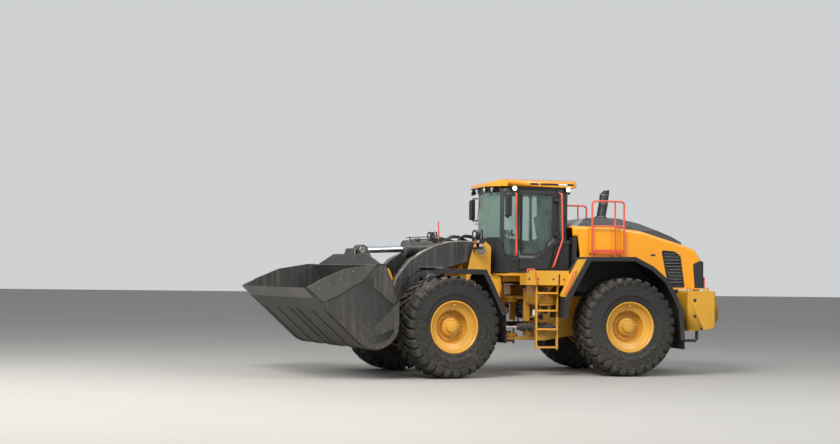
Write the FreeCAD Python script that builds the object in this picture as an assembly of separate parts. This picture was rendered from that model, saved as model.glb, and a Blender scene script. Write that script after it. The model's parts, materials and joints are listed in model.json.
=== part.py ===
import FreeCAD, Part
import math
import os

# Articulated wheel loader of the 33 tonne class with bucket, in millimetres.
# The model is laid out in the frame of its articulation pivot: X forward, Y left, Z up,
# ground at Z = 0. Front pieces are drawn straight ahead and then turned by STEER.
# At the end everything moves so that the origin is the centre of the footprint.

# Driving dimensions of the whole machine
WHEELBASE = 3870.0
TRACK = 2400.0
STEER = 10.3                    # degrees that the front is turned to the left
CLEAR = 1.0                     # running gap of a pin or shaft
GAP = 0.3                       # gap between pieces that only lie against each other
AXLE = WHEELBASE / 2
TAIL = -AXLE                    # x of the rear axle

# Tyres and wheels
TYRE_R = 940.0
TYRE_W = 760.0
CROWN_R = 888.0
SHOULDER_R = 830.0
BULGE_R = 690.0
SEAT_R = 452.0
BEAD_W = 600.0
LUG_COUNT = 24
LUG_PITCH_FILL = 0.56
LUG_SLANT = 105.0
RIM_FLANGE_R = 483.0
RIM_FLANGE_T = 26.0
RIM_DISH_R = 312.0
RIM_DISH_DEPTH = 120.0
RIM_WALL = 24.0
DISC_DEPTH = 290.0
DISC_T = 34.0
HUB_FLANGE_R = 285.0
HUB_R = 172.0
BOSS_R = 106.0
HUB_OUT = 60.0
NUT_COUNT = 24
NUT_CIRCLE_R = 242.0
NUT_R = 17.0
AXLE_TUBE_R = 150.0
AXLE_BALL_R = 300.0
BRAKE_R = 262.0
BRAKE_W = 190.0

# Frames
PIVOT_R = 62.0
HITCH_NOSE_R = 200.0
HITCH_WALL_X = 450.0
PLATE_T = 42.0
REAR_LUG_T = 62.0
FRONT_LUG_T = 56.0
HITCH_TOP_Z = 1500.0
HITCH_LOW_Z = 640.0
FRAME_Y = 440.0                 # outer face of the rear side plates
FRAME_TOP_Z = 1500.0
CROSS_TOP_Z = 1460.0
AXLE_PAD_Z = 1200.0
TOWER_IN_Y = 355.0              # outer face of the inner tower plates
TOWER_OUT_Y = 605.0             # inner face of the outer tower plates
TOWER_T = 38.0
FRAME_TAIL_X = TAIL - 1515

# Lift linkage pins, (x, z) in the straight front frame
PIN_ARM = (950.0, 2370.0)
PIN_BUCKET = (3050.0, 600.0)
PIN_ROCKER = (2760.0, 1540.0)
PIN_LINK_REAR = (2420.0, 1200.0)
PIN_LINK_FRONT = (2780.0, 838.0)
PIN_TILT_EYE = (3175.0, 2333.0)
PIN_TILT_BASE = (1030.0, 2419.0)
PIN_LIFT_BASE = (700.0, 1000.0)
PIN_LIFT_EYE = (1950.0, 1800.0)
ARM_Y = 480.0                   # middle of each arm plate
ARM_T = 120.0
PIN_R = 60.0
CROSS_TUBE = (2385.0, 1640.0)
CROSS_TUBE_R = 128.0
ROCKER_T = 240.0
ROCKER_R = 128.0
FORK_T = 50.0
EYE_W = 120.0
LINK_R = 84.0
LINK_PIN_R = 40.0
TILT_PIN_R = 45.0
LIFT_PIN_R = 40.0
TILT_BARREL_R = 152.0
TILT_HEAD_R = 172.0
TILT_ROD_R = 62.0
TILT_HEAD_X = 2296.0
TILT_EYE_R = 100.0
LIFT_BARREL_R = 104.0
LIFT_ROD_R = 45.0
LIFT_LUG_T = 30.0
LIFT_BARREL_L = 1255.0
LIFT_EYE_R = 92.0
LIFT_ROD_START = 228.0          # inner end of the rod, from the base pin

# Steering cylinders, (x, y, z); the base is on the rear frame, the eye on the front frame
STEER_BASE = (-780.0, 560.0, 905.0)
STEER_EYE = (430.0, 470.0, 905.0)
STEER_BARREL_R = 62.0
STEER_BARREL_L = 775.0
STEER_PIN_R = 26.0
STEER_LUG_HALF = 66.0
STEER_LUG_T = 35.0
STEER_LUG_REACH = 60.0
STEER_ROOM_Y = 330.0            # window in the frame in which the barrel swings
STEER_ROOM_L = 200.0
STEER_ROD_R = 32.0
STEER_ROD_L = 735.0             # from the eye to the inner end of the rod
STEER_EYE_R = 58.0
STEER_EYE_W = 60.0

# Bucket, drawn level about its pin and then racked back
BUCKET_W = 3430.0
BUCKET_RACK = 42.0
BUCKET_PLATE = 28.0
BUCKET_SIDE_T = 32.0
BUCKET_TIP = (2095.0, -495.0)
BUCKET_HEEL = (660.0, -495.0)
BUCKET_KNEE = (600.0, 560.0)
BUCKET_LIP = (1245.0, 850.0)
HEEL_R = 450.0
EDGE_L = 330.0
EDGE_T = 55.0
GUARD_H = 185.0
GUARD_FOOT = 1500.0
GUARD_TOP = 820.0
TAB_HALF = 210.0
TAB_H = 105.0
GUARD_LEAN = 56.0
GUARD_T = 20.0

# Cab
CAB_Y = 820.0
CAB_CORNER_X = 262.0            # where the side wall turns in towards the windscreen post
CAB_FLOOR_Z = 1950.0
CAB_H = 1650.0
CAB_TOP_Z = CAB_FLOOR_Z + CAB_H
CAB_WALL = 48.0
ROOF_H = 145.0
ROOF_TOP_Z = CAB_TOP_Z + ROOF_H
WINDOW_TOP_Z = CAB_TOP_Z - 100
WINDOW_LOW_Z = CAB_FLOOR_Z + 340
ROOF_Y = 885.0
DOOR_X0 = -690.0
DOOR_X1 = 75.0
DOOR_Z0 = CAB_FLOOR_Z + 60
DOOR_Z1 = CAB_TOP_Z - 55
DOOR_KNUCKLE_R = 22.0
DOOR_PIN_R = 12.0
DOOR_HINGE_Y = CAB_Y + 50
DOOR_HINGE_Z = (CAB_FLOOR_Z + 760, CAB_TOP_Z - 240)   # middle of each hinge
DOOR_SEAM = 8.0
DOOR_BEND_Z = CAB_FLOOR_Z + 670
DOOR_FOOT_X = -530.0
GLASS_T = 8.0
SKIRT_T = 42.0
SCREEN_Z0 = CAB_FLOOR_Z + 675

# Hood and tail
HOOD_Y = 930.0
HOOD_WALL = 34.0
HOOD_BOTTOM_Z = 1668.0
HOOD_HINGE = (TAIL - 1840, 1712.0)
SHOULDER_R_HOOD = 60.0
COVER_Y = 610.0
LAMP_IN_Y = 720.0
EXHAUST_R = 92.0
WEIGHT_Y = 1350.0
TOW_PIN_R = 30.0
TOW_PIN_L = 300.0
TOW_PIN_X = TAIL - 2005
TOW_PIN_Z = 935.0

# Fenders and access
FENDER_T = 28.0
FENDER_IN_Y = 765.0
FENDER_LINE = (                 # (x, z) of the outer skin, from the rear end to the front end
    (TAIL - 1125, 700.0), (TAIL - 1065, 1280.0), (TAIL - 970, 1510.0), (TAIL - 765, 1850.0),
    (TAIL - 469, 2098.0), (TAIL - 94, 2278.0), (TAIL + 860, 2262.0), (TAIL + 1315, 1450.0),
    (TAIL + 1345, 1100.0))
FENDER_OUT_Y = 1562.0
FRONT_FENDER_IN_Y = 835.0
FRONT_FENDER_OUT_Y = 1500.0
DECK_TOP_Z = CAB_FLOOR_Z - 12
DECK_T = 60.0
PLATFORM_X = (TAIL + 1196, 100.0)
PLATFORM_H = 220.0
PLATFORM_OUT_Y = 1400.0
PLATFORM_IN_Y = 850.0
STEP_Y = 1360.0
STEP_DEPTH = 190.0
RAIL_R = 19.0
BEND_R = 70.0

UP = FreeCAD.Vector(0, 0, 1)
ORIGIN = FreeCAD.Vector(0, 0, 0)


def vec(x, y, z):
    return FreeCAD.Vector(x, y, z)


def corner_wire(points, place):
    """Closed wire through (u, v) or (u, v, radius) corners; a radius rounds its corner."""
    count = len(points)
    ends = []
    for i, corner in enumerate(points):
        here = vec(corner[0], corner[1], 0)
        radius = corner[2] if len(corner) > 2 else 0.0
        if radius <= 0:
            ends.append((here, here, None))
            continue
        before = vec(points[i - 1][0], points[i - 1][1], 0) - here
        after = vec(points[(i + 1) % count][0], points[(i + 1) % count][1], 0) - here
        before.normalize()
        after.normalize()
        half = before.getAngle(after) / 2
        reach = radius / math.tan(half)
        middle = before + after
        middle.normalize()
        top = here + middle * (radius / math.sin(half) - radius)
        ends.append((here + before * reach, here + after * reach, top))
    edges = []
    for i, (start, end, top) in enumerate(ends):
        if top is not None:
            edges.append(Part.Arc(place(start), place(top), place(end)).toShape())
        follow = ends[(i + 1) % count][0]
        if (follow - end).Length > 0.01:
            edges.append(Part.makeLine(place(end), place(follow)))
    return Part.Wire(edges)


def plate(points, y0, y1):
    """Solid with an (x, z) outline between two Y values."""
    wire = corner_wire(points, lambda p: vec(p.x, y0, p.y))
    return Part.Face(wire).extrude(vec(0, y1 - y0, 0))


def slab(points, z0, z1):
    """Solid with an (x, y) outline between two Z values."""
    wire = corner_wire(points, lambda p: vec(p.x, p.y, z0))
    return Part.Face(wire).extrude(vec(0, 0, z1 - z0))


def panel(points, x0, x1):
    """Solid with a (y, z) outline between two X values."""
    wire = corner_wire(points, lambda p: vec(x0, p.x, p.y))
    return Part.Face(wire).extrude(vec(x1 - x0, 0, 0))


def block(x0, x1, y0, y1, z0, z1):
    return Part.makeBox(x1 - x0, y1 - y0, z1 - z0, vec(x0, y0, z0))


def rod(start, end, radius):
    line = end - start
    return Part.makeCylinder(radius, line.Length, start, line)


def pin_y(centre, radius, y0, y1):
    """Cylinder along Y about an (x, z) centre."""
    return Part.makeCylinder(radius, y1 - y0, vec(centre[0], y0, centre[1]), vec(0, 1, 0))


def ring_y(centre, outer, inner, y0, y1):
    return pin_y(centre, outer, y0, y1).cut(pin_y(centre, inner, y0 - 1, y1 + 1))


def fuse(shapes):
    solid = shapes[0]
    if len(shapes) > 1:
        solid = solid.multiFuse(shapes[1:])
    return solid.removeSplitter()


def flip(shape):
    """The same shape on the other side of the machine."""
    return shape.mirror(vec(0, 0, 0), vec(0, 1, 0))


def both_sides(shape):
    return Part.makeCompound([shape, flip(shape)])


def pipe(points, radius, bend):
    """Round bar along straight runs with rounded corners."""
    edges = []
    start = points[0]
    for i in range(1, len(points) - 1):
        before = points[i - 1] - points[i]
        after = points[i + 1] - points[i]
        before.normalize()
        after.normalize()
        half = before.getAngle(after) / 2
        reach = bend / math.tan(half)
        middle = before + after
        middle.normalize()
        enter = points[i] + before * reach
        leave = points[i] + after * reach
        top = points[i] + middle * (bend / math.sin(half) - bend)
        edges.append(Part.makeLine(start, enter))
        edges.append(Part.Arc(enter, top, leave).toShape())
        start = leave
    edges.append(Part.makeLine(start, points[-1]))
    way = points[1] - points[0]
    ring = Part.Wire(Part.makeCircle(radius, points[0], way))
    return Part.Wire(edges).makePipeShell([ring], True, True)


def strip(points, thick, y0, y1):
    """Plate of one thickness that follows an (x, z) line; the thickness is on its right side."""
    offsets = []
    count = len(points)
    for i in range(count):
        sides = []
        for a, b in ((i - 1, i), (i, i + 1)):
            if a < 0 or b >= count:
                continue
            dx = points[b][0] - points[a][0]
            dz = points[b][1] - points[a][1]
            size = math.hypot(dx, dz)
            sides.append((dz / size, -dx / size))
        nx = sum(s[0] for s in sides)
        nz = sum(s[1] for s in sides)
        size = math.hypot(nx, nz)
        nx /= size
        nz /= size
        share = nx * sides[0][0] + nz * sides[0][1]
        offsets.append((points[i][0] + nx * thick / share, points[i][1] + nz * thick / share))
    return plate(list(points) + offsets[::-1], y0, y1)


def polar(centre, radius, degrees):
    a = math.radians(degrees)
    return (centre[0] + radius * math.cos(a), centre[1] + radius * math.sin(a))


def along(start, end, distance):
    """Point at a distance from start towards end, both (x, z)."""
    size = math.hypot(end[0] - start[0], end[1] - start[1])
    share = distance / size
    return (start[0] + (end[0] - start[0]) * share, start[1] + (end[1] - start[1]) * share)


def at_y(point, y):
    return vec(point[0], y, point[1])


# Wheels: drawn about the Y axis with the outer side towards +Y

def revolve_y(points):
    """Turned body from a (y, radius) outline."""
    wire = corner_wire(points, lambda p: vec(0, p.x, p.y))
    return Part.Face(wire).revolve(ORIGIN, vec(0, 1, 0), 360)


def tyre():
    half = TYRE_W / 2
    body = revolve_y([
        (-BEAD_W / 2, SEAT_R), (-half, BULGE_R), (-half + 18, SHOULDER_R), (-half + 62, CROWN_R),
        (half - 62, CROWN_R), (half - 18, SHOULDER_R), (half, BULGE_R), (BEAD_W / 2, SEAT_R),
    ])
    pitch = 2 * math.pi * TYRE_R / LUG_COUNT
    width = pitch * LUG_PITCH_FILL
    flat_r = math.sqrt(TYRE_R ** 2 - (width / 2 + LUG_SLANT / 2) ** 2)
    section = corner_wire([
        (18, CROWN_R - 30), (18, flat_r), (half - 70, flat_r), (half, SHOULDER_R + 38),
        (half - 6, SHOULDER_R - 40), (half - 70, CROWN_R - 60),
    ], lambda p: vec(-pitch, p.x, -p.y))
    bar = Part.Face(section).extrude(vec(2 * pitch, 0, 0))
    outline = [
        (-width / 2 - LUG_SLANT / 2, 0), (width / 2 - LUG_SLANT / 2, 0),
        (width / 2 + LUG_SLANT / 2, half * 0.62), (width / 2 + LUG_SLANT / 2, half + 5),
        (-width / 2 + LUG_SLANT / 2, half + 5), (-width / 2 + LUG_SLANT / 2, half * 0.62),
    ]
    lug = bar.common(slab(outline, -TYRE_R - 1, -CROWN_R + 90))
    other = lug.mirror(ORIGIN, vec(0, 1, 0))
    step = 360.0 / LUG_COUNT
    lugs = []
    for i in range(LUG_COUNT):
        for piece, turn in ((lug, i * step), (other, (i + 0.5) * step)):
            copy = piece.copy()
            copy.rotate(ORIGIN, vec(0, 1, 0), turn)
            lugs.append(copy)
    return body.multiFuse(lugs).removeSplitter()


def rim():
    half = TYRE_W / 2
    seat = SEAT_R - GAP
    flange_y = BEAD_W / 2 + RIM_FLANGE_T + 18
    disc_y = flange_y - DISC_DEPTH
    barrel = revolve_y([
        (-BEAD_W / 2 - 30, seat - RIM_WALL), (-BEAD_W / 2 - 30, seat), (BEAD_W / 2 - 60, seat),
        (BEAD_W / 2 - 8, seat), (flange_y - RIM_FLANGE_T, seat),
        (flange_y - RIM_FLANGE_T, RIM_FLANGE_R),
        (flange_y, RIM_FLANGE_R), (flange_y, RIM_FLANGE_R - 24),
        (flange_y - RIM_DISH_DEPTH, RIM_DISH_R), (flange_y - RIM_DISH_DEPTH - RIM_WALL, RIM_DISH_R),
        (BEAD_W / 2 - 90, seat - RIM_WALL),
    ])
    band = revolve_y([
        (disc_y, RIM_DISH_R + RIM_WALL), (disc_y, HUB_R - 20), (disc_y + DISC_T, HUB_R - 20),
        (disc_y + DISC_T, RIM_DISH_R), (flange_y - RIM_DISH_DEPTH, RIM_DISH_R),
        (flange_y - RIM_DISH_DEPTH, RIM_DISH_R + RIM_WALL),
    ])
    hub = revolve_y([
        (-half + 40, 0), (-half + 40, HUB_FLANGE_R - 40), (disc_y, HUB_FLANGE_R),
        (disc_y, HUB_R - 20), (disc_y + DISC_T, HUB_R - 20), (disc_y + DISC_T, HUB_R),
        (disc_y + DISC_T + 95, HUB_R - 22), (disc_y + DISC_T + 95, BOSS_R),
        (disc_y + DISC_T + 95 + HUB_OUT, BOSS_R - 12), (disc_y + DISC_T + 95 + HUB_OUT, 0),
    ])
    nuts = []
    for i in range(NUT_COUNT):
        angle = 360.0 * i / NUT_COUNT
        centre = polar((0, 0), NUT_CIRCLE_R, angle)
        nut = Part.makeCylinder(NUT_R, 26, vec(centre[0], disc_y + DISC_T - 2, centre[1]), vec(0, 1, 0))
        nuts.append(nut)
    return fuse([barrel, band, hub] + nuts)


def axle_housing(pad_half):
    """Axle housing with its brake drums, centred on its own origin, along Y."""
    reach = TRACK / 2 - TYRE_W / 2 + 40 - GAP
    tube = Part.makeCylinder(AXLE_TUBE_R, 2 * reach, vec(0, -reach, 0), vec(0, 1, 0))
    ball = Part.makeSphere(AXLE_BALL_R)
    nose = Part.makeCone(AXLE_BALL_R * 0.72, 96, 430, vec(0, 0, 0), vec(1, 0, 0))
    pieces = [tube, ball, nose]
    for side in (-1, 1):
        drum = Part.makeCylinder(BRAKE_R, BRAKE_W, vec(0, side * reach, 0), vec(0, -side, 0))
        taper = Part.makeCone(BRAKE_R - 30, AXLE_TUBE_R, 130, vec(0, side * (reach - BRAKE_W), 0),
                              vec(0, -side, 0))
        pad = block(-150, 150, side * pad_half - 70, side * pad_half + 70, 0, AXLE_PAD_Z - TYRE_R)
        pieces += [drum, taper, pad]
    return fuse(pieces)


# Rear frame and what it carries

def rear_frame():
    side = plate([
        (-HITCH_WALL_X, HITCH_LOW_Z), (-HITCH_WALL_X, HITCH_TOP_Z), (FRAME_TAIL_X, FRAME_TOP_Z),
        (FRAME_TAIL_X, 860, 60), (-AXLE - 640, 830, 160), (-AXLE - 340, AXLE_PAD_Z, 120),
        (-AXLE + 340, AXLE_PAD_Z, 120), (-AXLE + 640, 760, 160), (-HITCH_WALL_X - 160, HITCH_LOW_Z, 80),
    ], FRAME_Y - PLATE_T, FRAME_Y)
    inside = FRAME_Y - PLATE_T
    wall = block(-HITCH_WALL_X - 50, -HITCH_WALL_X, -FRAME_Y, FRAME_Y, HITCH_LOW_Z, HITCH_TOP_Z)
    belly = block(-AXLE + 420, -AXLE + 470, -inside, inside, 1060, CROSS_TOP_Z)
    middle = block(-AXLE - 470, -AXLE - 420, -inside, inside, 1060, CROSS_TOP_Z)
    tail = block(FRAME_TAIL_X, FRAME_TAIL_X + 50, -inside, inside, 870, FRAME_TOP_Z)
    pieces = [side, flip(side), wall, belly, middle, tail]
    for low, high in ((HITCH_TOP_Z - REAR_LUG_T, HITCH_TOP_Z), (HITCH_LOW_Z, HITCH_LOW_Z + REAR_LUG_T)):
        tongue = slab([(-HITCH_WALL_X - 10, -330), (-HITCH_NOSE_R * 0.4, -HITCH_NOSE_R),
                       (-HITCH_NOSE_R * 0.4, HITCH_NOSE_R), (-HITCH_WALL_X - 10, 330)], low, high)
        nose = Part.makeCylinder(HITCH_NOSE_R, high - low, vec(0, 0, low))
        pieces += [tongue, nose]
    body = fuse(pieces)
    bores = Part.makeCylinder(PIVOT_R + CLEAR, 2000, vec(0, 0, 300))
    body = body.cut(bores)
    for side_sign in (-1, 1):
        y_in = side_sign * STEER_ROOM_Y
        y_side = side_sign * (FRAME_Y + 5)
        room = block(-HITCH_WALL_X - STEER_ROOM_L, -HITCH_WALL_X + 5, min(y_in, y_side), max(y_in, y_side),
                     STEER_BASE[2] - STEER_BARREL_R - 22, STEER_BASE[2] + STEER_BARREL_R + 22)
        y_out = side_sign * (STEER_BASE[1] + STEER_LUG_REACH)
        lug_z = STEER_BASE[2] + STEER_EYE_W / 2 + 5
        y_foot = side_sign * (FRAME_Y - 5)
        bracket = slab([
            (STEER_BASE[0] - STEER_LUG_HALF, y_foot), (STEER_BASE[0] - STEER_LUG_HALF, y_out),
            (STEER_BASE[0] + STEER_LUG_HALF, y_out), (STEER_BASE[0] + STEER_LUG_HALF, y_foot),
        ], lug_z, lug_z + STEER_LUG_T)
        low = bracket.translated(vec(0, 0, -STEER_EYE_W - 10 - STEER_LUG_T))
        pin = Part.makeCylinder(STEER_PIN_R, STEER_EYE_W + 120,
                                vec(STEER_BASE[0], side_sign * STEER_BASE[1],
                                    STEER_BASE[2] - STEER_EYE_W / 2 - 60))
        body = body.cut(room).fuse([bracket, low, pin])
    return body.removeSplitter()


def pivot_pins():
    pieces = []
    for low, high in ((HITCH_TOP_Z - REAR_LUG_T - FRONT_LUG_T - 50, HITCH_TOP_Z),
                      (HITCH_LOW_Z, HITCH_LOW_Z + REAR_LUG_T + FRONT_LUG_T + 50)):
        pin = Part.makeCylinder(PIVOT_R, high - low, vec(0, 0, low))
        if high == HITCH_TOP_Z:
            cap = Part.makeCylinder(PIVOT_R + 45, 24, vec(0, 0, high))
        else:
            cap = Part.makeCylinder(PIVOT_R + 45, 24, vec(0, 0, low - 24))
        pieces.append(fuse([pin, cap]))
    pieces.append(Part.makeCylinder(TOW_PIN_R, TOW_PIN_L, vec(TOW_PIN_X, 0, TOW_PIN_Z)))
    return Part.makeCompound(pieces)


def rear_axle():
    body = axle_housing(FRAME_Y - PLATE_T / 2)
    return body.translated(vec(-AXLE, 0, TYRE_R))


def engine_block():
    """Engine with its ancillaries as one plain block on the frame's cross plates."""
    return block(TAIL - 1045, TAIL + 455, -385, 385, CROSS_TOP_Z + GAP, 2400)


def counterweight():
    body = plate([
        (FRAME_TAIL_X + 250, 860, 40), (FRAME_TAIL_X + 250, HOOD_BOTTOM_Z - 28, 40),
        (TAIL - 1892, 1635, 50), (TAIL - 1990, 1560, 60), (TAIL - 2080, 1390, 60), (TAIL - 2099, 1080, 90),
        (TAIL - 1816, 925, 90), (TAIL - 1605, 880, 60),
    ], -WEIGHT_Y, WEIGHT_Y)
    seat = block(FRAME_TAIL_X - GAP, FRAME_TAIL_X + 300, -FRAME_Y - GAP, FRAME_Y + GAP, 800, 1800)
    body = body.cut(seat)
    for side in (-1, 1):
        edge = block(TAIL - 2265, TAIL - 1845, side * WEIGHT_Y - 170, side * WEIGHT_Y + 170, 700, 1800)
        edge.rotate(vec(TAIL - 1845, side * WEIGHT_Y, 0), UP, side * 32)
        body = body.cut(edge)
    slot = block(TAIL - 2165, TOW_PIN_X + 65, -130, 130, TOW_PIN_Z + 75, TOW_PIN_Z + 215)
    bore = Part.makeCylinder(TOW_PIN_R + CLEAR, 600, vec(TOW_PIN_X, 0, TOW_PIN_Z - 100))
    body = body.cut([slot, bore])
    hinges = []
    for side in (-1, 1):
        y = side * 500
        hinges.append(pin_y(HOOD_HINGE, 16, y - 95, y + 95))
        for a, b in ((y - 95, y - 65), (y + 65, y + 95)):
            hinges.append(block(HOOD_HINGE[0] - 32, HOOD_HINGE[0] + 22, a, b, 1600, HOOD_HINGE[1] + 20))
    return fuse([body] + hinges)


def hood_outline():
    return [
        (-1135, HOOD_BOTTOM_Z), (-1135, 2330, 30), (-1092, 2655, 20), (-990, 2660, 20),
        (-965, 2868, 30), (TAIL + 90, 2856, 400), (TAIL - 465, 2792, 500), (TAIL - 1345, 2543, 500),
        (TAIL - 1625, 2445, 200), (TAIL - 1777, 2200, 160), (TAIL - 1800, HOOD_BOTTOM_Z),
    ]


def hood():
    outer = plate(hood_outline(), -HOOD_Y, HOOD_Y)
    shoulder = [edge for edge in outer.Edges
                if abs(abs(edge.CenterOfMass.y) - HOOD_Y) < 1 and edge.CenterOfMass.z > 2300
                and edge.BoundBox.XMax < -970]
    outer = outer.makeFillet(SHOULDER_R_HOOD, shoulder)
    wall = HOOD_WALL
    inner = plate([
        (-900, HOOD_BOTTOM_Z - 10), (-900, 2868 - wall - 4), (TAIL + 90, 2856 - wall, 400),
        (TAIL - 465, 2792 - wall, 500), (TAIL - 1335, 2543 - wall, 400), (TAIL - 1600, 2450 - wall, 180),
        (TAIL - 1777 + wall, 2200, 140), (TAIL - 1800 + wall, HOOD_BOTTOM_Z - 10),
    ], -HOOD_Y + wall, HOOD_Y - wall)
    body = outer.cut(inner)
    side_hole = plate(side_grille_outline(0), -HOOD_Y - 50, HOOD_Y + 50)
    body = body.cut(side_hole)
    rear_hole = panel([(-620, 1740), (-620, 2180, 60), (620, 2180, 60), (620, 1740)], TAIL - 1965, TAIL - 1715)
    lamp_hole = plate(lamp_outline(0), LAMP_IN_Y, 1000)
    body = body.cut([rear_hole, lamp_hole, flip(lamp_hole), wheel_house(), flip(wheel_house())])
    top_hole = block(TAIL - 1115, TAIL + 235, -420, 420, 2500, 3000)
    body = body.cut(top_hole)
    for side in (-1, 1):
        knuckle = pin_y(HOOD_HINGE, 34, side * 500 - 60, side * 500 + 60)
        leaf = block(HOOD_HINGE[0], TAIL - 1785, side * 500 - 60, side * 500 + 60, HOOD_HINGE[1] - 20,
                     HOOD_HINGE[1] + 20)
        body = body.fuse([knuckle, leaf])
        body = body.cut(pin_y(HOOD_HINGE, 16 + CLEAR, side * 500 - 80, side * 500 + 80))
    return body.removeSplitter()


def wheel_house():
    """Room that the hood side leaves for the fender and the wheel under it."""
    line = [(x, z + 2) for x, z in FENDER_LINE[1:8]]
    return plate([(line[0][0], 1600)] + line + [(line[-1][0], 1600)], FENDER_IN_Y - 8, HOOD_Y + 40)


def lamp_outline(inset):
    """Rear lamp seen from the side, let into the hood's corner."""
    return [(TAIL - 1610 - inset, 1692 + inset), (TAIL - 1570 - inset, 2165 - inset, 40),
            (TAIL - 1725, 2235 - inset, 40), (TAIL - 1865, 2180 - inset), (TAIL - 1865, 1692 + inset)]


def side_grille_outline(inset):
    return [
        (TAIL - 895 - inset, 2430 - inset, 40), (TAIL - 1185 + inset, 2405 - inset, 60),
        (TAIL - 1300 + inset, 2310 - inset, 40), (TAIL - 1395 + inset, 1700 + inset, 30),
        (TAIL - 1050 - inset, 1700 + inset, 30),
    ]


def side_grilles():
    pieces = []
    y_out = HOOD_Y - 4
    y_in = HOOD_Y - HOOD_WALL
    panel_solid = plate(side_grille_outline(GAP), y_in, y_out)
    slots = []
    slot_z = 1770.0
    while slot_z < 2380.0:
        front_x = TAIL - 1060 if slot_z < 2060 else TAIL - 945
        slots.append(block(TAIL - 1330, front_x, y_in + 14, y_out + 5, slot_z, slot_z + 26))
        slot_z += 62
    panel_solid = panel_solid.cut(slots)
    pieces.append(panel_solid)
    pieces.append(flip(panel_solid))
    return Part.makeCompound(pieces)


def rear_grille():
    x0 = TAIL - 1800 + 4
    x1 = TAIL - 1800 + HOOD_WALL - 2
    face = panel([(-620 + GAP, 1740 + GAP), (-620 + GAP, 2180 - GAP, 60), (620 - GAP, 2180 - GAP, 60),
                  (620 - GAP, 1740 + GAP)], x0, x1)
    slots = []
    for i in range(7):
        z = 1775 + i * 56
        slots.append(block(x0 - 5, x0 + 18, -560, 560, z, z + 30))
    return face.cut(slots)


def hood_cover():
    outline = [
        (-1062, 2895, 15), (TAIL + 558, 3029, 160), (TAIL + 375, 3050, 300), (TAIL - 148, 3046, 500),
        (TAIL - 583, 2950, 600), (TAIL - 1264, 2697, 600), (TAIL - 1465, 2590, 30), (TAIL - 1457, 2420),
        (-1062, 2700),
    ]
    seat_on = plate(hood_outline(), -HOOD_Y, HOOD_Y).translated(vec(0, 0, GAP))
    body = plate(outline, -COVER_Y, COVER_Y).cut(seat_on)
    for side in (-1, 1):
        wedge = panel([(side * COVER_Y * 0.72, 3150), (side * COVER_Y * 1.05, 3150),
                       (side * COVER_Y * 1.05, 2760)], TAIL - 1565, -1000)
        body = body.cut(wedge)
    return body


def exhaust_stack():
    foot = Part.makeCylinder(EXHAUST_R + 36, 40, vec(TAIL + 10, 0, 3046))
    lower = rod(vec(TAIL + 10, 0, 3060), vec(TAIL - 40, 0, 3330), EXHAUST_R)
    joint = Part.makeSphere(EXHAUST_R, vec(TAIL - 40, 0, 3330))
    top = rod(vec(TAIL - 40, 0, 3330), vec(TAIL - 75, 0, 3630), EXHAUST_R)
    body = fuse([foot, lower, joint, top])
    slice_top = block(-200, 200, -200, 200, 0, 300)
    slice_top.rotate(ORIGIN, vec(0, 1, 0), 40)
    slice_top.translate(vec(TAIL - 50, 0, 3590))
    bore = rod(vec(TAIL - 55, 0, 3460), vec(TAIL - 81, 0, 3680), EXHAUST_R - 8)
    return body.cut([slice_top, bore, hood_cover()])


def tail_lights():
    pieces = []
    for side in (1, -1):
        y0, y1 = (HOOD_Y - HOOD_WALL + 5, HOOD_Y - 6)
        body = plate(lamp_outline(GAP), LAMP_IN_Y + GAP, y1)
        body = body.cut(block(TAIL - 1755, TAIL - 1545, 600, y0 - 20, 1600, 2160))
        body = body.cut(block(TAIL - 1965, TAIL - 1796, 600, 1000, 1600, 2400))
        pieces.append(body if side == 1 else flip(body))
    return Part.makeCompound(pieces)


def lamp_guards():
    """Red framed lamp guards that stand at the rear corners of the hood."""
    pieces = []
    for side in (1, -1):
        x0 = TAIL - 1840
        frame = panel([(705, 1690), (705, 1905, 20), (905, 1905, 20), (905, 1690)], x0, x0 + 26)
        frame = frame.cut(panel([(730, 1715), (730, 1880, 12), (880, 1880, 12), (880, 1715)], x0 - 5, x0 + 40))
        arm = block(x0 + 20, TAIL - 1796 - GAP, 795, 835, 1694, 1714)
        solid = fuse([frame, arm])
        pieces.append(solid if side == 1 else flip(solid))
    return Part.makeCompound(pieces)


# Cab

def cab_plan(inset):
    """Plan outline of the cab, with a curved front."""
    return [
        (-930 + inset, -CAB_Y + inset, 60), (CAB_CORNER_X - inset * 0.4, -CAB_Y + inset, 70),
        (430 - inset * 0.9, -660 + inset * 0.35, 120), (560 - inset, -330, 300), (575 - inset, 0, 900),
        (560 - inset, 330, 300), (430 - inset * 0.9, 660 - inset * 0.35, 120),
        (CAB_CORNER_X - inset * 0.4, CAB_Y - inset, 70), (-930 + inset, CAB_Y - inset, 60),
    ]


def side_windows(inset):
    """Outlines of the front and rear quarter windows and of the long window on the right."""
    low = WINDOW_LOW_Z + inset
    top = WINDOW_TOP_Z - inset
    quarter = [(112 + inset, low, 40), (112 + inset, top, 40), (340 - inset, top, 40), (352 - inset, low, 40)]
    rear_quarter = [(-860 + inset, low + 350, 30), (-850 + inset, top, 30), (-735 - inset, top, 30),
                    (-735 - inset, low + 330, 30)]
    far = [(-690 + inset, low, 40), (-690 + inset, top, 40), (75 - inset, top, 40), (75 - inset, low, 40)]
    return quarter, rear_quarter, far


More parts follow.
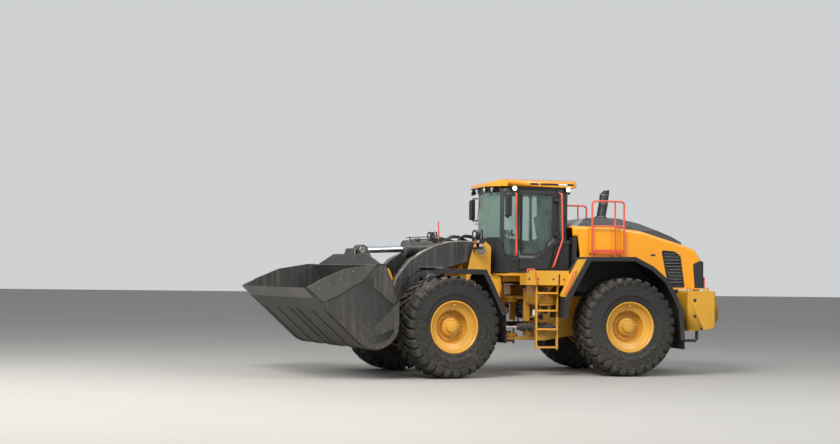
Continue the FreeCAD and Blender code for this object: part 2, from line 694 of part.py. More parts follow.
def cab_frame():
    shell = slab(cab_plan(0), CAB_FLOOR_Z, CAB_TOP_Z)
    shell = shell.cut(slab(cab_plan(CAB_WALL), CAB_FLOOR_Z + 60, CAB_TOP_Z - 60))
    front = block(405, 700, -700, 700, SCREEN_Z0, WINDOW_TOP_Z)
    rear = block(-1000, -850, -650, 650, WINDOW_LOW_Z + 10, WINDOW_TOP_Z - 20)
    quarter, rear_quarter, far = side_windows(0)
    side_front = plate(quarter, -900, 900)
    side_rear = plate(rear_quarter, -900, 900)
    door = plate(door_outline(DOOR_SEAM), CAB_Y - CAB_WALL - 5, CAB_Y + 5)
    right = plate(far, -900, -CAB_Y + 60)
    return fuse([shell.cut([front, rear, side_front, side_rear, door, right])] + door_lugs())


def cab_glass():
    mid = CAB_WALL / 2
    outer = slab(cab_plan(mid - GLASS_T / 2), CAB_FLOOR_Z, CAB_TOP_Z)
    sheet = outer.cut(slab(cab_plan(mid + GLASS_T / 2), CAB_FLOOR_Z - 5, CAB_TOP_Z + 5))
    g = GAP
    quarter, rear_quarter, far = side_windows(g)
    windows = [
        block(405 + g, 700, -700 + g, 700 - g, SCREEN_Z0 + g, WINDOW_TOP_Z - g),
        block(-1000, -850 - g, -650 + g, 650 - g, WINDOW_LOW_Z + 10 + g, WINDOW_TOP_Z - 20 - g),
        plate(quarter, -900, 900), plate(rear_quarter, -900, 900), plate(far, -900, -CAB_Y + 60),
    ]
    panes = []
    for window in windows:
        panes += sheet.common(window).Solids
    return Part.makeCompound(panes)


def door_outline(outset):
    """Door leaf seen from the side; its lower rear corner is cut off at a slant."""
    return [(DOOR_X1 + outset, DOOR_Z0 - outset), (DOOR_X1 + outset, DOOR_Z1 + outset),
            (DOOR_X0 - outset, DOOR_Z1 + outset), (DOOR_X0 - outset, DOOR_BEND_Z - outset),
            (DOOR_FOOT_X - outset, DOOR_Z0 - outset)]


def door_window(inset):
    """Window of the door leaf seen from the side."""
    x0 = DOOR_X0 + 75 + inset
    x1 = DOOR_X1 - 60 - inset
    top = DOOR_Z1 - 70 - inset
    low = WINDOW_LOW_Z + 10 + inset
    return [(x0, DOOR_BEND_Z + 70, 40), (x0, top, 50), (x1, top, 50), (x1, low, 40), (-395, low, 60)]


def cab_door():
    y0 = CAB_Y - CAB_WALL
    leaf = plate(door_outline(0), y0, CAB_Y)
    leaf = leaf.cut(plate(door_window(0), y0 - 5, CAB_Y + 5))
    skirt = plate(cladding_outline(0), CAB_Y, CAB_Y + SKIRT_T).common(
        plate(door_outline(-5), CAB_Y, CAB_Y + SKIRT_T))
    x = DOOR_X1 - 40
    low, high = CAB_FLOOR_Z + 470, CAB_FLOOR_Z + 670
    handle = pipe([vec(x, CAB_Y - 2, low), vec(x, CAB_Y + 55, low), vec(x, CAB_Y + 55, high),
                   vec(x, CAB_Y - 2, high)], 11, 22)
    hinges = []
    bores = []
    for z in DOOR_HINGE_Z:
        hinges.append(Part.makeCylinder(DOOR_KNUCKLE_R, 60, vec(DOOR_X0, DOOR_HINGE_Y, z - 30)))
        hinges.append(block(DOOR_X0 + 6, DOOR_X0 + 58, CAB_Y - 5, DOOR_HINGE_Y + 10, z - 30, z + 30))
        bores.append(Part.makeCylinder(DOOR_PIN_R + CLEAR, 80, vec(DOOR_X0, DOOR_HINGE_Y, z - 40)))
    return fuse([leaf, skirt, handle] + hinges).cut(bores)


def door_lugs():
    """Fixed halves of the door's hinges, on the post behind the door."""
    pieces = []
    for z in DOOR_HINGE_Z:
        pieces.append(Part.makeCylinder(DOOR_PIN_R, 118, vec(DOOR_X0, DOOR_HINGE_Y, z - 59)))
        for low in (z - 59, z + 31):
            pieces.append(block(DOOR_X0 - 44, DOOR_X0 + 18, DOOR_HINGE_Y - 20, DOOR_HINGE_Y + 20, low,
                                low + 28))
            pieces.append(block(DOOR_X0 - 44, DOOR_X0 - 14, CAB_Y - 10, DOOR_HINGE_Y, low, low + 28))
    return pieces


def door_glass():
    y_mid = CAB_Y - CAB_WALL / 2
    return plate(door_window(GAP), y_mid - GLASS_T / 2, y_mid + GLASS_T / 2)


def cladding_outline(inset):
    """Cladding low round the cab, seen from the side; its top edge dips below the side windows."""
    z = CAB_FLOOR_Z - inset
    return [(-960, CAB_FLOOR_Z), (-960, z + 630), (-761, z + 628), (-594, z + 596, 60), (-373, z + 381, 60),
            (-259, z + 288, 90), (325, z + 288, 60), (393, z + 527, 60), (470, z + 638, 60), (760, z + 648),
            (760, CAB_FLOOR_Z)]


def cab_skirts():
    sheet = slab(cab_plan(-SKIRT_T), CAB_FLOOR_Z, DOOR_BEND_Z + 80).cut(
        slab(cab_plan(-GAP), CAB_FLOOR_Z - 5, DOOR_BEND_Z + 85))
    sheet = sheet.common(plate(cladding_outline(0), -1000, 1000))
    seam = plate(door_outline(DOOR_SEAM + 2), CAB_Y - 10, CAB_Y + SKIRT_T + 10)
    return sheet.cut(seam)


def cab_roof():
    plan = [
        (-1105, -ROOF_Y, 120), (400, -ROOF_Y, 160), (640, -560, 260), (665, 0, 1500), (640, 560, 260),
        (400, ROOF_Y, 160), (-1105, ROOF_Y, 120),
    ]
    cap = slab(plan, CAB_TOP_Z + GAP, ROOF_TOP_Z)
    bevel = panel([(-ROOF_Y - 10, CAB_TOP_Z + 95), (-ROOF_Y - 10, ROOF_TOP_Z + 10),
                   (-ROOF_Y + 150, ROOF_TOP_Z + 10)], -1200, 700)
    front = plate([(680, CAB_TOP_Z + 50), (680, ROOF_TOP_Z + 10), (330, ROOF_TOP_Z + 10)], -1000, 1000)
    return cap.cut([bevel, flip(bevel), front])


def seat():
    base = block(-620, -200, -190, 190, CAB_FLOOR_Z + 60, CAB_FLOOR_Z + 330)
    cushion = block(-650, -130, -260, 260, CAB_FLOOR_Z + 330, CAB_FLOOR_Z + 450)
    back = plate([(-560, CAB_FLOOR_Z + 450), (-690, CAB_FLOOR_Z + 1150, 40), (-790, CAB_FLOOR_Z + 1140, 40),
                  (-660, CAB_FLOOR_Z + 440)], -245, 245)
    head = plate([(-690, CAB_FLOOR_Z + 1150), (-715, CAB_FLOOR_Z + 1260, 30),
                  (-800, CAB_FLOOR_Z + 1250, 30), (-790, CAB_FLOOR_Z + 1140)], -130, 130)
    arms = []
    for side in (-1, 1):
        arms.append(block(-600, -230, side * 300 - 45, side * 300 + 45, CAB_FLOOR_Z + 560, CAB_FLOOR_Z + 640))
        arms.append(block(-560, -480, side * 265 - 20, side * 265 + 20, CAB_FLOOR_Z + 400, CAB_FLOOR_Z + 570))
    return fuse([base, cushion, back, head] + arms)


def steering_column():
    column = rod(vec(260, 0, CAB_FLOOR_Z + 72), vec(105, 0, CAB_FLOOR_Z + 760), 52)
    wheel = Part.makeTorus(205, 17, vec(95, 0, CAB_FLOOR_Z + 790), vec(-0.3, 0, 1))
    spoke = rod(vec(95, -200, CAB_FLOOR_Z + 788), vec(95, 200, CAB_FLOOR_Z + 788), 14)
    hub = rod(vec(112, 0, CAB_FLOOR_Z + 735), vec(94, 0, CAB_FLOOR_Z + 800), 46)
    return fuse([column, wheel, spoke, hub])


def console():
    body = plate([(-560, CAB_FLOOR_Z + 60), (-560, CAB_FLOOR_Z + 640, 40), (-60, CAB_FLOOR_Z + 700, 60),
                  (60, CAB_FLOOR_Z + 620, 40), (-80, CAB_FLOOR_Z + 60)], -CAB_Y + CAB_WALL + 12, -480)
    return body


def work_lamps():
    """Lamps under the roof edge, four in front and two at the rear."""
    table = (  # x, y, faces forward
        (505, 640, 1), (590, 440, 1), (505, -640, 1), (590, -440, 1), (-945, 650, -1), (-945, -650, -1))
    pieces = []
    for x, y, way in table:
        body = Part.makeCone(38, 58, 70, vec(x, y, CAB_TOP_Z - 62), vec(way, 0, -0.12))
        stem = Part.makeCylinder(14, 62, vec(x + way * 26, y, CAB_TOP_Z - 62))
        pieces.append(fuse([body, stem]))
    return Part.makeCompound(pieces)


def mirrors():
    pieces = []
    for side in (1, -1):
        y = side * 1190.0
        top = CAB_TOP_Z - 180
        low_z = CAB_TOP_Z - 590
        glass = block(375, 425, y - 110, y + 110, low_z, top)
        arm = pipe([vec(330, side * 735, top - 40), vec(300, side * 900, top + 10),
                    vec(400, y - side * 60, top + 25), vec(400, y, top - 30)], 13, 24)
        low = pipe([vec(330, side * 735, low_z + 30), vec(300, side * 900, low_z - 5),
                    vec(400, y - side * 60, low_z - 25), vec(400, y, low_z + 30)], 13, 24)
        pieces.append(fuse([glass, arm, low]).cut(slab(cab_plan(-GAP), CAB_FLOOR_Z, CAB_TOP_Z)))
    return Part.makeCompound(pieces)


# Access: deck, platforms, ladders, rails, fenders

def cab_deck():
    top = DECK_TOP_Z + 12
    deck = slab([(-1000, -PLATFORM_IN_Y + GAP), (CAB_CORNER_X, -PLATFORM_IN_Y + GAP), (450, -650),
                 (560, -330), (575, 0), (560, 330), (450, 650), (CAB_CORNER_X, PLATFORM_IN_Y - GAP),
                 (-1000, PLATFORM_IN_Y - GAP)], top - DECK_T, CAB_FLOOR_Z - GAP)
    legs = []
    for x0 in (-960, -640):
        for side in (-1, 1):
            legs.append(block(x0, x0 + 120, side * (FRAME_Y - 60) - 55, side * (FRAME_Y - 60) + 55,
                              FRAME_TOP_Z, top - DECK_T))
    beam_z = top - DECK_T
    beams = [block(-1000, 300, side * 520 - 40, side * 520 + 40, beam_z - 110, beam_z) for side in (-1, 1)]
    return fuse([deck] + legs + beams)


def platform():
    """Yellow side platform with its deep outer beam."""
    x0, x1 = PLATFORM_X
    low = DECK_TOP_Z - PLATFORM_H
    outline = [(x0, PLATFORM_IN_Y), (x0, PLATFORM_OUT_Y), (x1, PLATFORM_OUT_Y), (x1, PLATFORM_IN_Y + 150),
               (x1 - 150, PLATFORM_IN_Y)]
    inside = [(x0 + 30, PLATFORM_IN_Y + 40), (x0 + 30, PLATFORM_OUT_Y - 40), (x1 - 30, PLATFORM_OUT_Y - 40),
              (x1 - 30, PLATFORM_IN_Y + 165), (x1 - 165, PLATFORM_IN_Y + 40)]
    body = slab(outline, low, DECK_TOP_Z).cut(slab(inside, low - 5, DECK_TOP_Z - 24))
    kick = block(x0, x1 - 40, PLATFORM_OUT_Y - 12, PLATFORM_OUT_Y, DECK_TOP_Z, DECK_TOP_Z + 55)
    return fuse([body, kick])


def ladder():
    x0, x1 = -545.0, -130.0
    stile_z = 560.0
    pieces = []
    for x in (x0, x1):
        head_z = DECK_TOP_Z - 20
        pieces.append(plate([(x - 14, 500), (x + 14, 500), (x + 14, head_z), (x - 14, head_z)],
                            STEP_Y - STEP_DEPTH / 2, STEP_Y - STEP_DEPTH / 2 + 60))
    for z in (stile_z, 896, 1247, 1577):
        pieces.append(block(x0 + 10, x1 - 10, STEP_Y - STEP_DEPTH / 2 - 40, STEP_Y + STEP_DEPTH / 2 - 60,
                            z - 24, z))
    return fuse(pieces)


def side_steps():
    """Platform with its ladder on each side."""
    return both_sides(fuse([platform(), ladder()]))


def side_tanks():
    """Hydraulic tank on the left and battery box on the right, under the platforms."""
    x0 = FENDER_LINE[-1][0] + 45
    top = DECK_TOP_Z - PLATFORM_H - 6
    body = plate([(x0, 1330, 40), (x0, top, 20), (-190, top, 20), (-190, 1380, 60), (-240, 1330, 40)],
                 FRAME_Y + 60, 1180)
    stay = block(x0 + 5, x0 + 85, FRAME_Y + GAP, FRAME_Y + 60, 1360, 1480)
    tank = fuse([body, stay])
    return Part.makeCompound([tank, flip(tank)])


def rear_fender():
    arch = strip(FENDER_LINE, FENDER_T, FENDER_IN_Y, FENDER_OUT_Y)
    outer_lip = strip(FENDER_LINE, FENDER_T * 3, FENDER_OUT_Y - 30, FENDER_OUT_Y)
    inner = plate(list(FENDER_LINE[2:7]) + [(FENDER_LINE[6][0], 1600)], FENDER_IN_Y, FENDER_IN_Y + FENDER_T)
    cab_room = block(-990, -500, FENDER_IN_Y - 5, CAB_Y + SKIRT_T + 12, 1500, 2400)
    bracket = block(TAIL - 125, TAIL + 95, FRAME_Y - PLATE_T, FENDER_IN_Y + FENDER_T, FRAME_TOP_Z + GAP, 1530)
    upright = block(TAIL - 125, TAIL + 95, FENDER_IN_Y, FENDER_IN_Y + FENDER_T, FRAME_TOP_Z + GAP, 1620)
    return fuse([arch.cut(cab_room), outer_lip, inner, bracket, upright])


def cab_rails():
    pieces = []
    for side in (1, -1):
        y = side * (CAB_Y + 95)
        root = side * (CAB_Y + SKIRT_T + GAP)
        wall = side * (CAB_Y + GAP)
        low, high = CAB_FLOOR_Z, CAB_TOP_Z
        front = pipe([vec(140, wall, high - 130), vec(160, y, high - 150), vec(145, y, low + 340),
                      vec(140, wall, low + 320)], RAIL_R, 40)
        rear = pipe([vec(-745, wall, high - 105), vec(-760, y, high - 130), vec(-785, y, low + 640),
                     vec(-610, y, low + 130), vec(-605, root, low + 110)], RAIL_R, 36)
        pieces += [front, rear]
    return [piece.cut([cab_frame(), cab_skirts()]) for piece in pieces]


def hood_rails():
    pieces = []
    for side in (1, -1):
        y = side * 1010.0
        foot = 2255.0
        frame = pipe([vec(TAIL + 583, y, foot), vec(TAIL + 583, y, 3350), vec(TAIL - 75, y, 3350),
                      vec(TAIL - 75, y, foot)], RAIL_R, BEND_R)
        bar = rod(vec(TAIL + 583, y, 2868), vec(TAIL - 75, y, 2868), RAIL_R * 0.8)
        post = rod(vec(TAIL + 100, y, foot), vec(TAIL + 115, y, 3350), RAIL_R * 0.8)
        kick = block(TAIL - 75, TAIL + 583, y - 6, y + 6, foot + 90, foot + 160)
        pieces.append(fuse([frame, bar, post, kick]).cut(both_sides(rear_fender())))
    return pieces


def handrails():
    return Part.makeCompound(cab_rails() + hood_rails())


def tail_stays():
    pieces = []
    for side in (1, -1):
        bar = block(TAIL - 1535, TAIL - 1490, side * 1240 - 22, side * 1240 + 22, 690, 1040)
        arm = block(TAIL - 1505, TAIL - 1165, side * 1240 - 22, side * 1240 + 22, 650, 700)
        pieces.append(fuse([bar, arm]))
    return Part.makeCompound(pieces).cut(counterweight())


# Front frame, drawn straight ahead

def front_frame():
    in0 = TOWER_IN_Y - TOWER_T
    inner = plate([
        (HITCH_WALL_X, HITCH_LOW_Z + 20), (HITCH_WALL_X, 1560, 60), (825, 1850, 120),
        (820, 2505, 60), (1180, 2525, 60), (1210, 1900, 160), (1500, 1480, 160), (AXLE + 300, 1340, 60),
        (AXLE + 360, 1215, 40), (AXLE + 300, AXLE_PAD_Z), (AXLE - 300, AXLE_PAD_Z), (1400, 900, 120),
        (1080, HITCH_LOW_Z + 20, 80),
    ], in0, TOWER_IN_Y)
    outer = plate([
        (540, 860, 60), (525, 1560, 60), (500, 1650, 40), (520, 1860, 30), (740, 1890, 60), (735, 2440, 70),
        (860, 2535, 60),
        (1060, 2535, 90), (1165, 2200, 300), (1330, 1500, 160), (1420, 1200, 80), (1180, 860, 80),
    ], TOWER_OUT_Y, TOWER_OUT_Y + TOWER_T)
    wall = block(HITCH_WALL_X, HITCH_WALL_X + 46, -TOWER_IN_Y, TOWER_IN_Y, HITCH_LOW_Z + 20, 1540)
    floor = block(HITCH_WALL_X, 1240, -in0, in0, 1190, 1230)
    web = block(1215, 1255, -in0, in0, 780, 1560)
    nose = block(AXLE + 260, AXLE + 300, -in0, in0, AXLE_PAD_Z + 15, AXLE_PAD_Z + 115)
    box_rear = block(555, 590, in0, TOWER_OUT_Y + 5, 880, 1530)
    box_low = block(570, 1200, in0, TOWER_OUT_Y + 5, 862, 896)
    cheek = block(1120, 1160, in0, TOWER_OUT_Y + 5, 880, 1085)
    pieces = [inner, flip(inner), outer, flip(outer), wall, floor, web, nose]
    for part in (box_rear, box_low, cheek):
        pieces += [part, flip(part)]
    for low, high in ((HITCH_TOP_Z - REAR_LUG_T - 6 - FRONT_LUG_T, HITCH_TOP_Z - REAR_LUG_T - 6),
                      (HITCH_LOW_Z + REAR_LUG_T + 6, HITCH_LOW_Z + REAR_LUG_T + 6 + FRONT_LUG_T)):
        tongue = slab([(HITCH_WALL_X + 10, -300), (HITCH_NOSE_R * 0.4, -HITCH_NOSE_R + 10),
                       (HITCH_NOSE_R * 0.4, HITCH_NOSE_R - 10), (HITCH_WALL_X + 10, 300)], low, high)
        disc = Part.makeCylinder(HITCH_NOSE_R - 10, high - low, vec(0, 0, low))
        pieces += [tongue, disc]
    tilt_lugs = []
    for side in (-1, 1):
        y0 = side * (EYE_W / 2 + 8)
        y1 = side * (EYE_W / 2 + 48)
        foot = (PIN_TILT_BASE[0], 2240)
        tilt_lugs += leg(PIN_TILT_BASE, foot, 118, 100, min(y0, y1), max(y0, y1))
    bridge = block(930, 1150, -in0, in0, 2140, 2190)
    back = block(915, 955, -in0, in0, 1900, 2190)
    pieces += tilt_lugs + [bridge, back]
    body = fuse(pieces)
    bore = Part.makeCylinder(PIVOT_R + CLEAR, 2000, vec(0, 0, 300))
    holes = [pin_y(PIN_ARM, PIN_R + CLEAR, -900, 900), bore,
             pin_y(PIN_TILT_BASE, TILT_PIN_R + CLEAR, -200, 200),
             pin_y(PIN_LIFT_BASE, LIFT_PIN_R + CLEAR, -900, 900)]
    body = body.cut(holes)
    ears = []
    for side in (-1, 1):
        y = side * STEER_EYE[1]
        for z0 in (STEER_EYE[2] + STEER_EYE_W / 2 + 5, STEER_EYE[2] - STEER_EYE_W / 2 - 40):
            ears.append(slab([(STEER_EYE[0] + 120, side * (TOWER_IN_Y - 30)),
                              (STEER_EYE[0] - 10, side * (TOWER_IN_Y - 30)),
                              (STEER_EYE[0] - 60, y), (STEER_EYE[0], y + side * 60),
                              (STEER_EYE[0] + 100, y + side * 40)], z0, z0 + 35))
    body = body.fuse(ears)
    return body.removeSplitter()


def arm_pins():
    pieces = []
    for side in (-1, 1):
        a = side * (TOWER_IN_Y - TOWER_T - 12)
        b = side * (TOWER_OUT_Y + TOWER_T + 12)
        pieces.append(pin_y(PIN_ARM, PIN_R, min(a, b), max(a, b)))
        cap = side * (TOWER_OUT_Y + TOWER_T)
        head = pin_y(PIN_ARM, PIN_R + 30, min(cap, cap + side * 14), max(cap, cap + side * 14))
        pieces[-1] = fuse([pieces[-1], head])
        lift = pin_y(PIN_LIFT_BASE, LIFT_PIN_R, min(a, b), max(a, b))
        pieces.append(lift)
    pieces.append(pin_y(PIN_TILT_BASE, TILT_PIN_R, -EYE_W / 2 - 60, EYE_W / 2 + 60))
    return Part.makeCompound(pieces)


def front_axle():
    body = axle_housing(TOWER_IN_Y - TOWER_T / 2)
    body.rotate(ORIGIN, UP, 180)
    return body.translated(vec(AXLE, 0, TYRE_R))


def front_fender():
    line = [(AXLE - 1085, 1180), (AXLE - 815, 1714), (AXLE - 660, 1988), (AXLE + 355, 1995),
            (AXLE + 410, 2040)]
    arch = strip(line, FENDER_T, FRONT_FENDER_IN_Y, FRONT_FENDER_OUT_Y)
    lip = strip(line[:4], FENDER_T * 3, FRONT_FENDER_OUT_Y - 30, FRONT_FENDER_OUT_Y)
    stay = block(AXLE - 755, AXLE - 655, TOWER_OUT_Y + TOWER_T + GAP, FRONT_FENDER_IN_Y + 60, 1640, 1690)
    post = block(AXLE - 710, AXLE - 660, FRONT_FENDER_IN_Y, FRONT_FENDER_IN_Y + 60, 1640, 1880)
    return fuse([arch, lip, stay, post])


def headlamps():
    pieces = []
    for side in (1, -1):
        foot = block(PIN_ARM[0] + PIN_R + 42, 1170, TOWER_OUT_Y + TOWER_T + GAP, 910, 2380, 2420)
        box = block(1110, 1210, 860, 1100, 2480, 2560)
        lamp = Part.makeCylinder(88, 90, vec(1180, 985, 2650), vec(1, 0, 0))
        arm = block(1170, 1200, 965, 1005, 2540, 2640)
        solid = fuse([foot, block(1130, 1170, 870, 910, 2400, 2500), box, arm, lamp])
        pieces.append(solid if side == 1 else flip(solid))
    return Part.makeCompound(pieces)


# Lift linkage

def lift_arms():
    """Two arm plates and the cross tube that joins them."""
    outline = [
        (800, 2400, 100), (880, 2520, 120), (1294, 2552, 300), (1853, 2462, 500), (2395, 2165, 400),
        (2672, 1820, 300), (2845, 1370, 400), (3015, 960, 300), (3160, 700, 80), (3200, 520, 130),
        (2960, 430, 120), (2880, 640, 160), (2520, 1200, 300), (2330, 1500, 200), (2140, 1885, 150),
        (1700, 2010, 400), (1150, 2150, 200), (850, 2215, 120),
    ]
    y0 = ARM_Y - ARM_T / 2
    y1 = ARM_Y + ARM_T / 2
    side = plate(outline, y0, y1)
    lugs = []
    for a, b in ((y0 - LIFT_LUG_T + 8, y0 + 8), (y1 - 8, y1 + LIFT_LUG_T - 8)):
        lugs.append(plate([
            (1700, 2040), (1700, 2000), (PIN_LIFT_EYE[0] - 110, PIN_LIFT_EYE[1] - 20, 60),
            (PIN_LIFT_EYE[0] - 20, PIN_LIFT_EYE[1] - 110, 60),
            (PIN_LIFT_EYE[0] + 100, PIN_LIFT_EYE[1] - 60, 60), (2190, 1860), (2130, 2040),
        ], a, b))
    side = fuse([side] + lugs)
    tube = pin_y(CROSS_TUBE, CROSS_TUBE_R, -y0 - 10, y0 + 10)
    saddles = []
    for s in (-1, 1):
        a = s * (ROCKER_T / 2 + 10)
        b = s * (ROCKER_T / 2 + 56)
        saddles.append(plate([
            (CROSS_TUBE[0] - 40, CROSS_TUBE[1] - 120), (CROSS_TUBE[0] - 40, CROSS_TUBE[1] + 120),
            (PIN_ROCKER[0] - 40, PIN_ROCKER[1] + 128, 60), (PIN_ROCKER[0] + 128, PIN_ROCKER[1] + 20, 100),
            (PIN_ROCKER[0] + 20, PIN_ROCKER[1] - 128, 90),
        ], min(a, b), max(a, b)))
    body = fuse([side, flip(side), tube] + saddles)
    holes = [pin_y(PIN_ARM, PIN_R + CLEAR, -900, 900), pin_y(PIN_BUCKET, PIN_R + CLEAR, -900, 900),
             pin_y(PIN_ROCKER, PIN_R + CLEAR, -400, 400)]
    return body.cut(holes)


def rocker_pin():
    """Pin on which the rocker turns, held by the saddle plates of the cross tube."""
    return pin_y(PIN_ROCKER, PIN_R, -ROCKER_T / 2 - 66, ROCKER_T / 2 + 66)


def leg(start, end, r0, r1, y0, y1):
    """Flat lever between two round ends."""
    dx = end[0] - start[0]
    dz = end[1] - start[1]
    size = math.hypot(dx, dz)
    nx, nz = -dz / size, dx / size
    web = plate([
        (start[0] + nx * r0, start[1] + nz * r0), (end[0] + nx * r1, end[1] + nz * r1),
        (end[0] - nx * r1, end[1] - nz * r1), (start[0] - nx * r0, start[1] - nz * r0),
    ], y0, y1)
    return [web, pin_y(start, r0, y0, y1), pin_y(end, r1, y0, y1)]


def rocker():
    half = ROCKER_T / 2
    up = leg(PIN_ROCKER, PIN_TILT_EYE, ROCKER_R, 100, -half, half)
    down = leg(PIN_ROCKER, PIN_LINK_REAR, ROCKER_R, 86, -half, half)
    body = fuse(up + down)
    slot_h = half - FORK_T
    tip = along(PIN_TILT_EYE, PIN_ROCKER, 330)
    slot_up = fuse(leg(PIN_TILT_EYE, tip, 150, 150, -slot_h, slot_h)
                   + leg(PIN_TILT_EYE, along(PIN_TILT_EYE, PIN_ROCKER, -260), 150, 150, -slot_h, slot_h))
    tail = along(PIN_LINK_REAR, PIN_ROCKER, 120)
    slot_down = fuse(leg(PIN_LINK_REAR, tail, 130, 130, -slot_h, slot_h)
                     + leg(PIN_LINK_REAR, along(PIN_LINK_REAR, PIN_ROCKER, -260), 130, 130, -slot_h, slot_h))
    body = body.cut([slot_up, slot_down, pin_y(PIN_ROCKER, PIN_R + CLEAR, -half - 5, half + 5)])
    rear_pin = pin_y(PIN_LINK_REAR, LINK_PIN_R, -half - 8, half + 8)
    return fuse([body, rear_pin])


def link():
    half = ROCKER_T / 2 - FORK_T - 5
    body = fuse(leg(PIN_LINK_REAR, PIN_LINK_FRONT, LINK_R, LINK_R, -half, half))
    return body.cut([pin_y(PIN_LINK_REAR, LINK_PIN_R + CLEAR, -half - 5, half + 5),
                     pin_y(PIN_LINK_FRONT, LINK_PIN_R + 5, -half - 5, half + 5)])


def cylinder_barrel(base, eye, y, radius, length, head_r, eye_r, eye_w, pin):
    start = at_y(along(base, eye, eye_r * 0.6), y)
    stop = at_y(along(base, eye, length), y)
    head0 = at_y(along(base, eye, length - 110), y)
    body = fuse([rod(start, stop, radius), rod(head0, stop, head_r),
                 pin_y(base, eye_r, y - eye_w / 2, y + eye_w / 2)])
    return body.cut(pin_y(base, pin + CLEAR, y - radius - 40, y + radius + 40))


def barrel_bore(base, eye, y, length, rod_r):
    """Room for the rod inside its barrel."""
    start = at_y(along(base, eye, 160), y)
    stop = at_y(along(base, eye, length + 20), y)
    return rod(start, stop, rod_r + CLEAR)


def tilt_barrel():
    length = math.hypot(TILT_HEAD_X - PIN_TILT_BASE[0], 60)
    body = cylinder_barrel(PIN_TILT_BASE, PIN_TILT_EYE, 0, TILT_BARREL_R, length, TILT_HEAD_R,
                           108, EYE_W, TILT_PIN_R)
    neck = block(PIN_TILT_BASE[0] - 150, PIN_TILT_BASE[0] + 150, EYE_W / 2, 300, 2200, 2700)
    body = body.cut([neck, flip(neck)])
    return body.cut(barrel_bore(PIN_TILT_BASE, PIN_TILT_EYE, 0, length, TILT_ROD_R))


def tilt_rod():
    eye_x = math.hypot(PIN_TILT_EYE[0] - PIN_TILT_BASE[0], PIN_TILT_EYE[1] - PIN_TILT_BASE[1])
    start = at_y(along(PIN_TILT_BASE, PIN_TILT_EYE, 1100), 0)
    stop = at_y(along(PIN_TILT_BASE, PIN_TILT_EYE, eye_x - 60), 0)
    return fuse([rod(start, stop, TILT_ROD_R),
                 pin_y(PIN_TILT_EYE, TILT_EYE_R, -EYE_W / 2, EYE_W / 2)])


def lift_barrels():
    pieces = []
    for side in (1, -1):
        y = side * ARM_Y
        body = cylinder_barrel(PIN_LIFT_BASE, PIN_LIFT_EYE, y, LIFT_BARREL_R, LIFT_BARREL_L,
                               LIFT_BARREL_R + 6, LIFT_EYE_R, 150, LIFT_PIN_R)
        body = body.cut(barrel_bore(PIN_LIFT_BASE, PIN_LIFT_EYE, y, LIFT_BARREL_L, LIFT_ROD_R))
        pieces.append(body)
    return Part.makeCompound(pieces)


def lift_rods():
    size = math.hypot(PIN_LIFT_EYE[0] - PIN_LIFT_BASE[0], PIN_LIFT_EYE[1] - PIN_LIFT_BASE[1])
    pieces = []
    for side in (1, -1):
        y = side * ARM_Y
        start = at_y(along(PIN_LIFT_BASE, PIN_LIFT_EYE, LIFT_ROD_START), y)
        stop = at_y(along(PIN_LIFT_BASE, PIN_LIFT_EYE, size - 50), y)
        pieces.append(fuse([rod(start, stop, LIFT_ROD_R), pin_y(PIN_LIFT_EYE, LIFT_EYE_R, y - 42, y + 42)]))
    return Part.makeCompound(pieces)


# Steering cylinders: they join the two halves, so they are drawn in the rear frame

def steer_points(side):
    base = vec(STEER_BASE[0], side * STEER_BASE[1], STEER_BASE[2])
    a = math.radians(STEER)
    x, y = STEER_EYE[0], side * STEER_EYE[1]
    eye = vec(x * math.cos(a) - y * math.sin(a), x * math.sin(a) + y * math.cos(a), STEER_EYE[2])
    return base, eye


def steer_barrel(side):
    base, eye = steer_points(side)
    way = (eye - base).normalize()
    half = STEER_EYE_W / 2
    tube = rod(base + way * 40, base + way * STEER_BARREL_L, STEER_BARREL_R)
    ring = Part.makeCylinder(STEER_EYE_R, STEER_EYE_W, base - UP * half)
    reach = math.hypot(STEER_LUG_HALF, STEER_LUG_REACH) + 18
    trim = [Part.makeCylinder(reach, 200, base + UP * half),
            Part.makeCylinder(reach, 200, base - UP * (half + 200))]
    body = fuse([tube.cut(trim), ring])
    bore = rod(base + way * 100, base + way * (STEER_BARREL_L + 10), STEER_ROD_R + CLEAR)
    return body.cut([bore, Part.makeCylinder(STEER_PIN_R + CLEAR, 300, base - UP * 150)])


def steer_rod(side):
    base, eye = steer_points(side)
    way = (eye - base).normalize()
    size = (eye - base).Length
    shaft = rod(base + way * (size - STEER_ROD_L), base + way * (size - 30), STEER_ROD_R)
    ring = Part.makeCylinder(STEER_EYE_R - 8, STEER_EYE_W, eye - UP * (STEER_EYE_W / 2))
    return fuse([shaft, ring])


# Bucket, drawn level with its pin at the origin, then placed

def place_bucket(shape):
    done = shape.copy()
    done.rotate(ORIGIN, vec(0, 1, 0), -BUCKET_RACK)
    return done.translated(vec(PIN_BUCKET[0], 0, PIN_BUCKET[1]))


def heel_point(radius, degrees):
    return polar((BUCKET_HEEL[0], BUCKET_HEEL[1] + HEEL_R), radius, degrees)


def bucket_wire(thick):
    """Floor, heel and back of the bucket, as outer or inner edges."""
    floor_z = BUCKET_TIP[1] + thick
    r = HEEL_R - thick
    a = heel_point(r, 270)
    m = heel_point(r, 207)
    b = heel_point(r, 145)
    turn = math.radians(55)
    knee = (BUCKET_KNEE[0] + thick * math.sin(turn) * 0.9, BUCKET_KNEE[1] - thick * 0.9)
    lip = (BUCKET_LIP[0] + thick * 0.4, BUCKET_LIP[1] - thick)
    return floor_z, a, m, b, knee, lip


